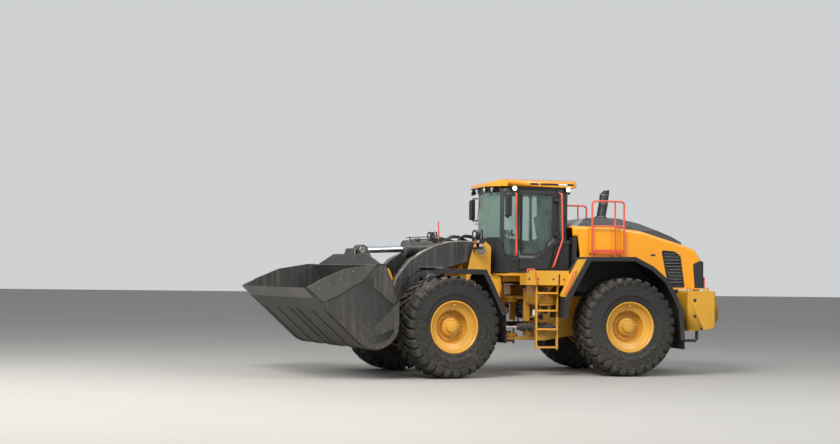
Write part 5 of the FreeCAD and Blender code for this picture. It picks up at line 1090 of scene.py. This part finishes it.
TAIL = -AXLE
COVER_FRONT = (TAIL + 558, 3029.0)     # top of the cover's slanted front
GRILLE = ((TAIL - 895, 2430, 40), (TAIL - 1185, 2405, 60), (TAIL - 1300, 2310, 40),
          (TAIL - 1395, 1700, 30), (TAIL - 1050, 1700, 30))


class LOADER_OT_hood_details(bpy.types.Operator):
    """Makes the hood's pale cover tip (a painted highlight), grille rims, mesh, latches and rear lamps"""
    bl_idname = "loader.hood_details"
    bl_label = "Hood details"

    def execute(self, context):
        # Slanted front of the hood cover, cut off and laid 3 mm proud in pale grey: a painted highlight
        bm = merged("hood_cover")
        bmesh.ops.transform(bm, matrix=REAR.inverted(), verts=bm.verts)
        geom = bm.verts[:] + bm.edges[:] + bm.faces[:]
        bmesh.ops.bisect_plane(bm, geom=geom, plane_co=on(COVER_FRONT, 0),
                               plane_no=(140, 0, 147), clear_inner=True)
        for vert in bm.verts:
            vert.co += vert.normal * 3.0
        make(bm, "cover_tip", "hood", "pale_plastic")

        with twins("grille_rims", "hood", "chassis_enamel", 3.0) as bm:
            frame_plate(bm, GRILLE, 24, 924, 937)
            for z in range(1795, 2400, 62):
                front = TAIL - 1066 if z < 2060 else TAIL - 950
                back = TAIL - 1330 - (2400 - z) * 0.02
                cuboid(bm, back, front, 900, 932, z - 9, z + 9, 0.45, "X")

        with twins("hood_latches", "hood", "chassis_enamel", 2.0) as bm:
            for x, z in ((TAIL + 560, 2330), (TAIL - 720, 2330)):
                plate(bm, rectangle(x - 46, x + 46, z - 16, z + 16, 14), 928, 940)
                cuboid(bm, x - 26, x + 26, 938, 947, z - 6, z + 6)
            for x0, x1, z in ((TAIL + 690, TAIL + 80, 2874), (TAIL + 20, TAIL - 420, 2868)):
                cuboid(bm, x0, x1, 600, 606, z - 3, z + 3)
        bm = bmesh.new()
        for i in range(6):
            z = 1790 + 56 * i + 28
            cuboid(bm, TAIL - 1802, TAIL - 1778, -572, 572, z - 11, z + 11, 0.4)
        frame_plate(bm, [(-612, 1748), (-612, 2172, 60), (612, 2172, 60), (612, 1748)], 26, TAIL - 1806,
                    TAIL - 1790, "X")
        for y in (-380, -190, 0, 190, 380):
            cuboid(bm, TAIL - 1799, TAIL - 1783, y - 5, y + 5, 1760, 2165)
        make(bm, "rear_grille_bars", "hood", "chassis_enamel", 2.0)

        with twins("stop_lenses", "hood", "red_acrylic") as bm:
            for z in (1985, 1800):
                turned(bm, [(0, 0), (0, 44), (5, 40), (9, 22), (10, 0)], 28, (TAIL - 1794, 815, z), ASTERN)

        with twins("rear_turn_lenses", "hood", "amber_lens") as bm:
            turned(bm, [(0, 0), (0, 40), (5, 36), (9, 20), (10, 0)], 28, (TAIL - 1794, 815, 2085), ASTERN)

        with twins("rear_lamp_rims", "hood", "chassis_enamel", 2.0) as bm:
            frame_plate(bm, [(TAIL - 1606, 1700), (TAIL - 1572, 2160, 36), (TAIL - 1724, 2228, 36),
                             (TAIL - 1788, 2195), (TAIL - 1796, 1700)], 14, 922, 934)
        bm = bmesh.new()
        way = Vector((-35, 0, 300)).normalized()
        low = Vector((TAIL - 40, 0, 3330))
        for reach in (18, 190):
            barrel(bm, low + way * reach, low + way * (reach + 16), 96, sides=40)
        barrel(bm, (TAIL + 10, 0, 3052), (TAIL + 10, 0, 3092), 128, 118, sides=40)
        for angle in range(0, 360, 60):
            turn = math.radians(angle)
            barrel(bm, (TAIL + 10 + 112 * math.cos(turn), 112 * math.sin(turn), 3084),
                   (TAIL + 10 + 112 * math.cos(turn), 112 * math.sin(turn), 3100), 9, sides=6)
        make(bm, "exhaust_clamps", "hood", "machined_steel", 1.5)
        return {"FINISHED"}


class LOADER_OT_tail_details(bpy.types.Operator):
    """Makes the counterweight's seams, blank plates, tow pin handle and step treads"""
    bl_idname = "loader.tail_details"
    bl_label = "Tail details"

    def execute(self, context):
        with twins("weight_seams", "rear_unit", "chassis_enamel", 1.0) as bm:
            cuboid(bm, TAIL - 1846, TAIL - 1838, 1340, 1352, 930, 1628)
            for z in (1150, 1460):
                turned(bm, [(0, 0), (0, 34), (5, 34), (8, 26), (8, 0)], 28, (TAIL - 1420, 1349, z))
            barrel(bm, (TAIL - 1560, 1349, 905), (TAIL - 1560, 1356, 905), 24, sides=24)

        with twins("lifting_eyes", "rear_unit", "cast_enamel", 2.0) as bm:
            for x in (TAIL - 1400, TAIL - 1760):
                turned(bm, [(-14, 26), (-14, 58), (14, 58), (14, 26)], 28, (x, 1130, 1655))
                cuboid(bm, x - 52, x + 52, 1112, 1148, 1630, 1648)

        with twins("blank_plates", "rear_unit", "white_plate", 2.0) as bm:
            cuboid(bm, TAIL - 2103, TAIL - 2098, 300, 560, 1190, 1300)
        bm = bmesh.new()
        barrel(bm, (TAIL - 2005, 0, 1232), (TAIL - 2005, 0, 1262), 44, sides=28)
        barrel(bm, (TAIL - 2005, 0, 1258), (TAIL - 2005, 0, 1300), 16, sides=20)
        barrel(bm, (TAIL - 2005, -60, 1296), (TAIL - 2005, 60, 1296), 12, sides=16)
        make(bm, "tow_pin_handle", "rear_unit", "machined_steel", 1.5)

        with twins("stay_treads", "rear_unit", "machined_steel", 1.0) as bm:
            for i in range(7):
                x = TAIL - 1480 + 50 * i
                cuboid(bm, x - 8, x + 8, 1222, 1258, 699, 707)

        with twins("rear_fender_bolts", "rear_unit", "chassis_enamel") as bm:
            screws(bm, ((TAIL - 1075, 900), (TAIL - 1040, 1200), (TAIL - 935, 1480), (TAIL - 745, 1795),
                        (TAIL - 455, 2040), (TAIL - 100, 2215), (TAIL + 330, 2212), (TAIL + 780, 2206),
                        (TAIL + 930, 1990), (TAIL + 1100, 1690), (TAIL + 1262, 1400)), 1560, 1568, 13, 12)

        with twins("rear_mudflaps", "rear_unit", "hose_rubber", 3.0) as bm:
            plate(bm, [(TAIL - 1118, 760), (TAIL - 1104, 760), (TAIL - 1116, 520), (TAIL - 1132, 520)], 870,
                  1540)
            for y in (960, 1200, 1440):
                cuboid(bm, TAIL - 1112, TAIL - 1092, y - 30, y + 30, 712, 756)
        return {"FINISHED"}


# Access

class LOADER_OT_access_details(bpy.types.Operator):
    """Makes platform studs, step treads, loop rails and the slanted side panels"""
    bl_idname = "loader.access_details"
    bl_label = "Access details"

    def execute(self, context):
        stud = bmesh.new()
        bmesh.ops.create_cone(stud, cap_ends=True, segments=8, radius1=12, radius2=8, depth=5)

        with twins("platform_studs", "rear_unit", "cast_enamel") as bm:
            for i in range(15):
                for j in range(9):
                    x, y = -700 + 52 * i, 905 + 56 * j
                    if x > -100 and y < 1060:
                        continue
                    join(bm, stud.copy(), Matrix.Translation((x, y, 1940)))
        stud.free()

        with twins("beam_marks", "rear_unit", "chassis_enamel") as bm:
            for x in (-640, -430, -120, 50):
                turned(bm, [(0, 0), (0, 19), (3, 19), (3, 0)], 20, (x, 1400, 1830))
            cuboid(bm, -560, -532, 1399, 1404, 1728, 1925)

        with twins("step_treads", "rear_unit", "hood_enamel", 1.5) as bm:
            for z in (896, 1247, 1577):
                cuboid(bm, -538, -137, 1296, 1306, z - 26, z + 9)
                for i in range(9):
                    cuboid(bm, -526 + 46 * i, -506 + 46 * i, 1230, 1296, z - 1, z + 5)

        with twins("lowest_steps", "rear_unit", "rail_enamel", 2.0) as bm:
            plate(bm, rectangle(1222, 1309, 532, 563, 8), -539, -136, "X")
            for i in range(9):
                cuboid(bm, -526 + 46 * i, -506 + 46 * i, 1230, 1302, 562, 568)

        with twins("side_panels", "rear_unit", "cast_enamel", 6.0, 40) as bm:
            plate(bm, [(-642, 1502, 30), (-538, 1502, 30), (-752, 1940, 40), (-905, 2215, 30),
                       (-1040, 2215)], 1410, 1532)
            cuboid(bm, -752, -700, 1398, 1414, 1725, 1930)
        thin = context.scene.loader_sizes.rail_radius * 0.75
        for word, side in SIDES:
            near, out = side * 1530, side * 1570
            pipe("panel_rail_" + word, [(-618, near, 1560), (-618, out, 1560), (-812, out, 1985),
                                        (-830, near, 2000)], thin, "rear_unit", 50, "rail_enamel")
            deck, front = side * 1385, side * 1418
            pipe("loop_rail_" + word, [(86, deck, 1930), (86, deck, 2012), (-61, deck, 2012),
                                       (-92, front, 1850), (-114, front, 1740),
                                       (-114, side * 1396, 1732)], thin, "rear_unit", 50, "rail_enamel")
            for i, y in enumerate((590, 690, 790)):
                pipe("tank_hose_%s_%d" % (word, i),
                     [(-300 - 60 * i, side * y, 1334), (-300 - 60 * i, side * y, 1200),
                      (-420, side * (y - 60), 1120 - 30 * i), (-560, side * 445, 1120 - 30 * i)], 15,
                     "rear_unit", 90)

        with twins("tank_caps", "rear_unit", "chassis_enamel", 2.0) as bm:
            turned(bm, [(0, 0), (0, 62), (26, 62), (34, 54), (34, 0)], 32, (-330, 1180, 1600))
            cuboid(bm, -520, -215, 1179, 1184, 1372, 1380)
            cuboid(bm, -520, -512, 1179, 1184, 1372, 1690)

        with twins("side_vents", "rear_unit", "moulded_plastic", 4.0) as bm:
            plate(bm, [(-1074, 2270), (-1082, 2640, 20), (-992, 2640, 20), (-990, 2120)], 620, 915)
            for i in range(9):
                z = 2225 + 46 * i
                cuboid(bm, -1066, -1000, 912, 924, z - 12, z + 6, 0.4, "X")
        return {"FINISHED"}


# Cab

SWOOSH = ((-683.0, 2556.0), (-594.0, 2542.0), (-373.0, 2327.0), (-259.0, 2234.0), (68.0, 2234.0))
SWOOSH_WIDE = -62.0   # below its line
CLADDING = (861.0, 873.0)   # inner and outer face of a rim on the cladding
SIDE_LAMPS = (182.0, -905.0)


def cushion(name, box, crown, seams, turn=None, at=(0, 0, 0)):
    """Stuffed pad: half sizes of its box, swollen faces, soft corners and sewn channels across X."""
    bm = bmesh.new()
    bmesh.ops.create_cube(bm, size=2.0)
    bmesh.ops.subdivide_edges(bm, edges=bm.edges[:], cuts=13, use_grid_fill=True)
    for _ in range(5):
        bmesh.ops.smooth_vert(bm, verts=bm.verts[:], factor=0.6, use_axis_x=True, use_axis_y=True,
                              use_axis_z=True)
    reach = [max(abs(vert.co[axis]) for vert in bm.verts) for axis in range(3)]
    for vert in bm.verts:
        u, v, w = (vert.co[axis] / reach[axis] for axis in range(3))
        swell = crown * (1 - u * u) * (1 - v * v)
        sewn = max((math.exp(-((u - seam) / 0.05) ** 2) for seam in seams), default=0.0)
        pull = 1.0 - 0.035 * (u * u + v * v)
        height = w * (box[2] - crown) + swell * (1 if w > 0 else -0.2)
        vert.co = (u * box[0] * pull, v * box[1] * pull, height - (crown * 0.7 * sewn if w > 0.3 else 0.0))
    place = REAR @ Matrix.Translation(at) @ (turn or Matrix.Identity(4))
    piece = make(bm, name, "rear_unit", "seat_cloth", smooth=60, place=place)
    soft = piece.modifiers.new("soft", "SUBSURF")
    soft.levels = 1
    soft.render_levels = 1
    return piece


class LOADER_OT_seat(bpy.types.Operator):
    """Makes the operator's seat with its cushions, armrests and suspension"""
    bl_idname = "loader.seat"
    bl_label = "Seat"

    def execute(self, context):
        bm = bmesh.new()
        cuboid(bm, -615, -205, -188, 188, 2012, 2060)
        cuboid(bm, -590, -230, -170, 170, 2225, 2278)
        for i in range(6):
            cuboid(bm, -600 + i * 2, -220 - i * 2, -178 + i * 2, 178 - i * 2, 2062 + 27 * i, 2080 + 27 * i)
        for side in (-1, 1):
            cuboid(bm, -555, -485, side * 265 - 16, side * 265 + 16, 2300, 2512)
        barrel(bm, (-722, -70, 3060), (-745, -70, 3120), 8, sides=12)
        barrel(bm, (-722, 70, 3060), (-745, 70, 3120), 8, sides=12)
        make(bm, "seat_base", "rear_unit", "moulded_plastic", 8.0, replaces=["seat"])
        lean = Matrix.Rotation(math.radians(-79.5), 4, "Y")
        cushion("seat_cushion", (256, 256, 62), 16, (-0.45, 0.35), at=(-390, 0, 2340))
        cushion("seat_back", (352, 240, 50), 15, (-0.4, 0.1, 0.55), lean, (-668, 0, 2745))
        cushion("seat_headrest", (58, 128, 42), 12, (), lean, (-748, 0, 3146))
        for word, side in SIDES[::-1]:
            cushion("armrest_" + word, (180, 42, 34), 8, (), at=(-415, side * 300, 2546))
        return {"FINISHED"}


class LOADER_OT_cab_details(bpy.types.Operator):
    """Makes cladding rims, lamps, mirror glass, wipers, seals and the controls"""
    bl_idname = "loader.cab_details"
    bl_label = "Cab details"

    def execute(self, context):
        bm = bmesh.new()
        band(bm, SWOOSH, SWOOSH_WIDE, *CLADDING)
        make(bm, "door_cladding_rim", "door", "chassis_enamel", 5.0)
        bm = bmesh.new()
        band(bm, SWOOSH, SWOOSH_WIDE, -CLADDING[1], -CLADDING[0])
        make(bm, "right_cladding_rim", "rear_unit", "chassis_enamel", 5.0)

        with twins("cladding_rims", "rear_unit", "chassis_enamel", 5.0) as bm:
            band(bm, [(-955, 2570), (-700, 2566)], SWOOSH_WIDE, *CLADDING)
            band(bm, [(88, 2234), (258, 2234)], SWOOSH_WIDE, *CLADDING)

        with twins("roof_slots", "rear_unit", "moulded_plastic", 3.0) as bm:
            cuboid(bm, -1010, -330, 878, 889, 3632, 3672)
            cuboid(bm, -300, -130, 878, 888, 3632, 3672)
            for i in range(5):
                cuboid(bm, -980 + 130 * i, -880 + 130 * i, 886, 891, 3640, 3664)

        with twins("roof_vents", "rear_unit", "white_plate", 1.5) as bm:
            cuboid(bm, -880, -700, 888, 893, 3638, 3666)

        with twins("side_lamps", "rear_unit", "moulded_plastic", 1.0) as bm:
            for x in SIDE_LAMPS:
                turned(bm, [(0, 0), (0, 30), (30, 52), (58, 54), (58, 46), (52, 44), (52, 0)], 32,
                       (x, 824, 3560))
                cuboid(bm, x - 12, x + 12, 838, 862, 3590, 3602)

        with twins("lit_lenses", "rear_unit", "lit_lens") as bm:
            for x in SIDE_LAMPS:
                turned(bm, [(0, 0), (0, 45), (6, 40), (11, 20), (12, 0)], 32, (x, 877, 3560))
        bm = bmesh.new()
        for x, y, way in ((505, 640, 1), (590, 440, 1), (505, -640, 1), (590, -440, 1), (-945, 650, -1),
                          (-945, -650, -1)):
            face = Vector((x + way * 69, y, 3538 - 8.3))
            aim = Vector((way, 0, -0.12)).normalized()
            turned(bm, [(0, 0), (0, 50), (4, 47), (8, 24), (9, 0)], 32, face, aim)
        make(bm, "work_lamp_lenses", "rear_unit", "lamp_reflector")

        with twins("mirror_glasses", "rear_unit", "mirror_glass", 2.0) as bm:
            plate(bm, rectangle(1096, 1284, 3030, 3402, 24), 368, 376, "X")

        with twins("mirror_backs", "rear_unit", "moulded_plastic", 12.0) as bm:
            plate(bm, rectangle(1088, 1292, 3018, 3412, 40), 424, 442, "X")
        bm = bmesh.new()
        plate(bm, [(603, 3490), (600, 3180), (612, 3180), (615, 3490)], -12, 12)
        barrel(bm, (592, 0, 3495), (606, 0, 3495), 26, sides=24)
        plate(bm, [(-250, 2900), (-236, 2900), (12, 3490), (-6, 3496)], 592, 600, "X")
        cuboid(bm, 583, 591, -420, -70, 2890, 2902)
        make(bm, "front_wiper", "rear_unit", "chassis_enamel", 2.0)

        bm = bmesh.new()
        frame_plate(bm, [(-622, 2683, 44), (-622, 3480, 54), (22, 3480, 54), (22, 2293, 44),
                         (-400, 2293, 64)], 20, 818, 825)
        make(bm, "door_seal", "door", "hose_rubber", 2.0)
        bm = bmesh.new()
        plate(bm, [(-655, 2300), (-640, 2300), (-640, 3500), (-655, 3500)], 819, 828)
        cuboid(bm, 28, 44, 819, 828, 2300, 3500)
        make(bm, "door_trims", "door", "moulded_plastic", 2.0)

        bm = bmesh.new()
        turned(bm, [(-17, 205), (-12, 217), (0, 222), (12, 217), (17, 205), (12, 193), (0, 188),
                    (-12, 193)], 56, (95, 0, 2740), Vector((-0.3, 0, 1)))
        for y in (-1, 1):
            cuboid(bm, 60, 130, y * 118 - 74, y * 118 + 74, 2728, 2744)
        turned(bm, [(-20, 0), (-20, 52), (10, 58), (24, 44), (28, 0)], 40, (97, 0, 2735),
               Vector((-0.3, 0, 1)))
        barrel(bm, (260, 0, 2022), (112, 0, 2690), 58, 46, sides=36)
        cuboid(bm, 128, 190, 60, 190, 2610, 2640)
        barrel(bm, (120, 60, 2630), (112, 230, 2650), 9, sides=12)
        make(bm, "steering_wheel", "rear_unit", "moulded_plastic", 4.0, replaces=["steering_column"])
        bm = bmesh.new()
        for i in range(3):
            x = -250 + 70 * i
            barrel(bm, (x, -560, 2640), (x + 8, -560, 2760), 8, sides=12)
            turned(bm, [(0, 0), (0, 14), (20, 22), (50, 20), (62, 10), (62, 0)], 24, (x + 8, -560, 2755), UP)
        cuboid(bm, -60, 20, -740, -540, 2600, 2740, 0.35)
        cuboid(bm, 320, 352, -560, -330, 2700, 2850, 0.5, "Z")
        barrel(bm, (330, -440, 2600), (335, -445, 2710), 14, sides=16)
        cuboid(bm, 300, 460, -560, 560, 2560, 2604)
        for i in range(7):
            cuboid(bm, -440 + 46 * i, -420 + 46 * i, -560, -530, 2652, 2664)
        make(bm, "cab_controls", "rear_unit", "moulded_plastic", 5.0)
        bm = bmesh.new()
        plate(bm, [(-700, 2020), (-700, 2040), (430, 2040), (430, 2020)], -560, 560)
        for side in (-1, 1):
            cuboid(bm, 180, 290, side * 150 - 45, side * 150 + 45, 2050, 2090, -0.5)
        make(bm, "cab_mat", "rear_unit", "hose_rubber", 4.0)
        bm = bmesh.new()
        frame_plate(bm, rectangle(-560, 560, 2350, 3420, 60), 60, -866, -856, "X")
        cuboid(bm, -880, -300, -600, 600, 3500, 3530)
        make(bm, "cab_lining", "rear_unit", "pale_plastic", 6.0)
        return {"FINISHED"}


# Stage

CAMERA_AT = (9240.0, 28100.0, 1890.0)
CAMERA_AZIMUTH = math.radians(-14.8)
CAMERA_PITCH = math.radians(2.0)
CAMERA_ROLL = math.radians(0.77)
FOCAL_PX = 1500.0
IMAGE_WIDTH = 840.0
SENSOR_MM = 36.0


def area_lamp(name, at, aim, size, power, colour):
    data = bpy.data.lights.new(name, "AREA")
    data.energy = power
    data.size = size
    data.color = colour
    lamp = bpy.data.objects.new(name, data)
    lamp.location = at
    lamp.rotation_euler = (Vector(aim) - Vector(at)).to_track_quat("-Z", "Y").to_euler()
    bpy.context.scene.collection.objects.link(lamp)


class LOADER_OT_stage(bpy.types.Operator):
    """Makes the camera, the pale floor and the soft light"""
    bl_idname = "loader.stage"
    bl_label = "Stage"

    def execute(self, context):
        scene = context.scene
        az, pitch, roll = CAMERA_AZIMUTH, CAMERA_PITCH, CAMERA_ROLL
        ahead = Vector((math.sin(az) * math.cos(pitch), -math.cos(az) * math.cos(pitch), math.sin(pitch)))
        right = ahead.cross(Vector((0, 0, 1))).normalized()
        up = right.cross(ahead)
        right_turned = right * math.cos(roll) + up * math.sin(roll)
        up_turned = up * math.cos(roll) - right * math.sin(roll)
        turn = Matrix((right_turned, up_turned, -ahead)).transposed()
        data = bpy.data.cameras.new("camera")
        data.sensor_fit = "HORIZONTAL"
        data.sensor_width = SENSOR_MM
        data.lens = FOCAL_PX / IMAGE_WIDTH * SENSOR_MM
        data.clip_end = 500.0
        camera = bpy.data.objects.new("camera", data)
        camera.matrix_world = Matrix.Translation(REAR @ Vector(CAMERA_AT)) @ turn.to_4x4()
        scene.collection.objects.link(camera)
        scene.camera = camera

        floor_mesh = bmesh.new()
        bmesh.ops.create_grid(floor_mesh, x_segments=1, y_segments=1, size=120.0)
        mesh = bpy.data.meshes.new("floor")
        floor_mesh.to_mesh(mesh)
        floor_mesh.free()
        floor = bpy.data.objects.new("floor", mesh)
        scene.collection.objects.link(floor)
        material, tree = new_material("pale_floor")
        coords = add(tree, "ShaderNodeTexCoord")
        soft = grain(tree, coords, 3000.0, 3.0)
        tint = mix_colour(tree, (soft, "Fac"), hex_colour("A9A7A3"), hex_colour("B2B0AC"))
        shader = add(tree, "ShaderNodeBsdfPrincipled", {"Roughness": 0.85}, {"Base Color": (tint, 2)})
        add(tree, "ShaderNodeOutputMaterial", links={"Surface": (shader, "BSDF")})
        mesh.materials.append(material)

        world = bpy.data.worlds.new("studio")
        scene.world = world
        world.use_nodes = True
        tree = world.node_tree
        tree.nodes.clear()
        sky = add(tree, "ShaderNodeBackground", {"Color": hex_colour("DDE1E6"), "Strength": 0.5})
        backdrop = add(tree, "ShaderNodeBackground", {"Color": hex_colour("D9DBDD"), "Strength": 0.9})
        ray = add(tree, "ShaderNodeLightPath")
        seen = add(tree, "ShaderNodeMath", links={0: (ray, "Is Camera Ray"), 1: (ray, "Is Glossy Ray")},
                   operation="MAXIMUM")
        seen = add(tree, "ShaderNodeMath", links={0: (seen, "Value"), 1: (ray, "Is Transmission Ray")},
                   operation="MAXIMUM")
        mixed = add(tree, "ShaderNodeMixShader", links={0: (seen, "Value"), 1: (sky, "Background"),
                                                        2: (backdrop, "Background")})
        add(tree, "ShaderNodeOutputWorld", links={"Surface": (mixed, "Shader")})
        area_lamp("key", (9.0, 12.0, 14.0), (0.0, 0.0, 1.5), 7.0, 3300.0, (1.0, 0.97, 0.92))
        area_lamp("front", (14.0, 3.0, 9.0), (1.0, 0.0, 1.5), 6.0, 1000.0, (1.0, 0.98, 0.95))
        area_lamp("fill", (-8.0, 12.0, 11.0), (-1.0, 0.0, 1.5), 7.0, 1000.0, (0.94, 0.97, 1.0))
        scene.view_settings.view_transform = "Standard"
        return {"FINISHED"}


OPERATORS = (
    LOADER_OT_stage, LOADER_OT_cad_finishes, LOADER_OT_wheels, LOADER_OT_tilt_cylinder,
    LOADER_OT_lift_cylinders, LOADER_OT_arm_details, LOADER_OT_bucket_details,
    LOADER_OT_front_frame_details, LOADER_OT_hitch_details, LOADER_OT_hood_details, LOADER_OT_tail_details,
    LOADER_OT_access_details, LOADER_OT_seat, LOADER_OT_cab_details)


class LOADER_PT_pieces(bpy.types.Panel):
    """Lists the sizes, colours and pieces of the loader"""
    bl_idname = "LOADER_PT_pieces"
    bl_label = "Wheel loader"
    bl_space_type = "VIEW_3D"
    bl_region_type = "UI"
    bl_category = "Wheel loader"

    def draw(self, context):
        for group in (context.scene.loader_sizes, context.scene.loader_colours):
            for name in group.bl_rna.properties.keys():
                if name not in ("rna_type", "name"):
                    self.layout.prop(group, name)
        for operator in OPERATORS:
            self.layout.operator(operator.bl_idname)


CLASSES = (LoaderSizes, LoaderColours) + OPERATORS + (LOADER_PT_pieces,)


def register():
    for made in CLASSES:
        bpy.utils.register_class(made)
    bpy.types.Scene.loader_sizes = PointerProperty(type=LoaderSizes)
    bpy.types.Scene.loader_colours = PointerProperty(type=LoaderColours)


def unregister():
    del bpy.types.Scene.loader_colours
    del bpy.types.Scene.loader_sizes
    for made in reversed(CLASSES):
        bpy.utils.unregister_class(made)


def main():
    register()
    for operator in OPERATORS:
        group, name = operator.bl_idname.split(".")
        getattr(getattr(bpy.ops, group), name)()


if __name__ == "__main__":
    main()
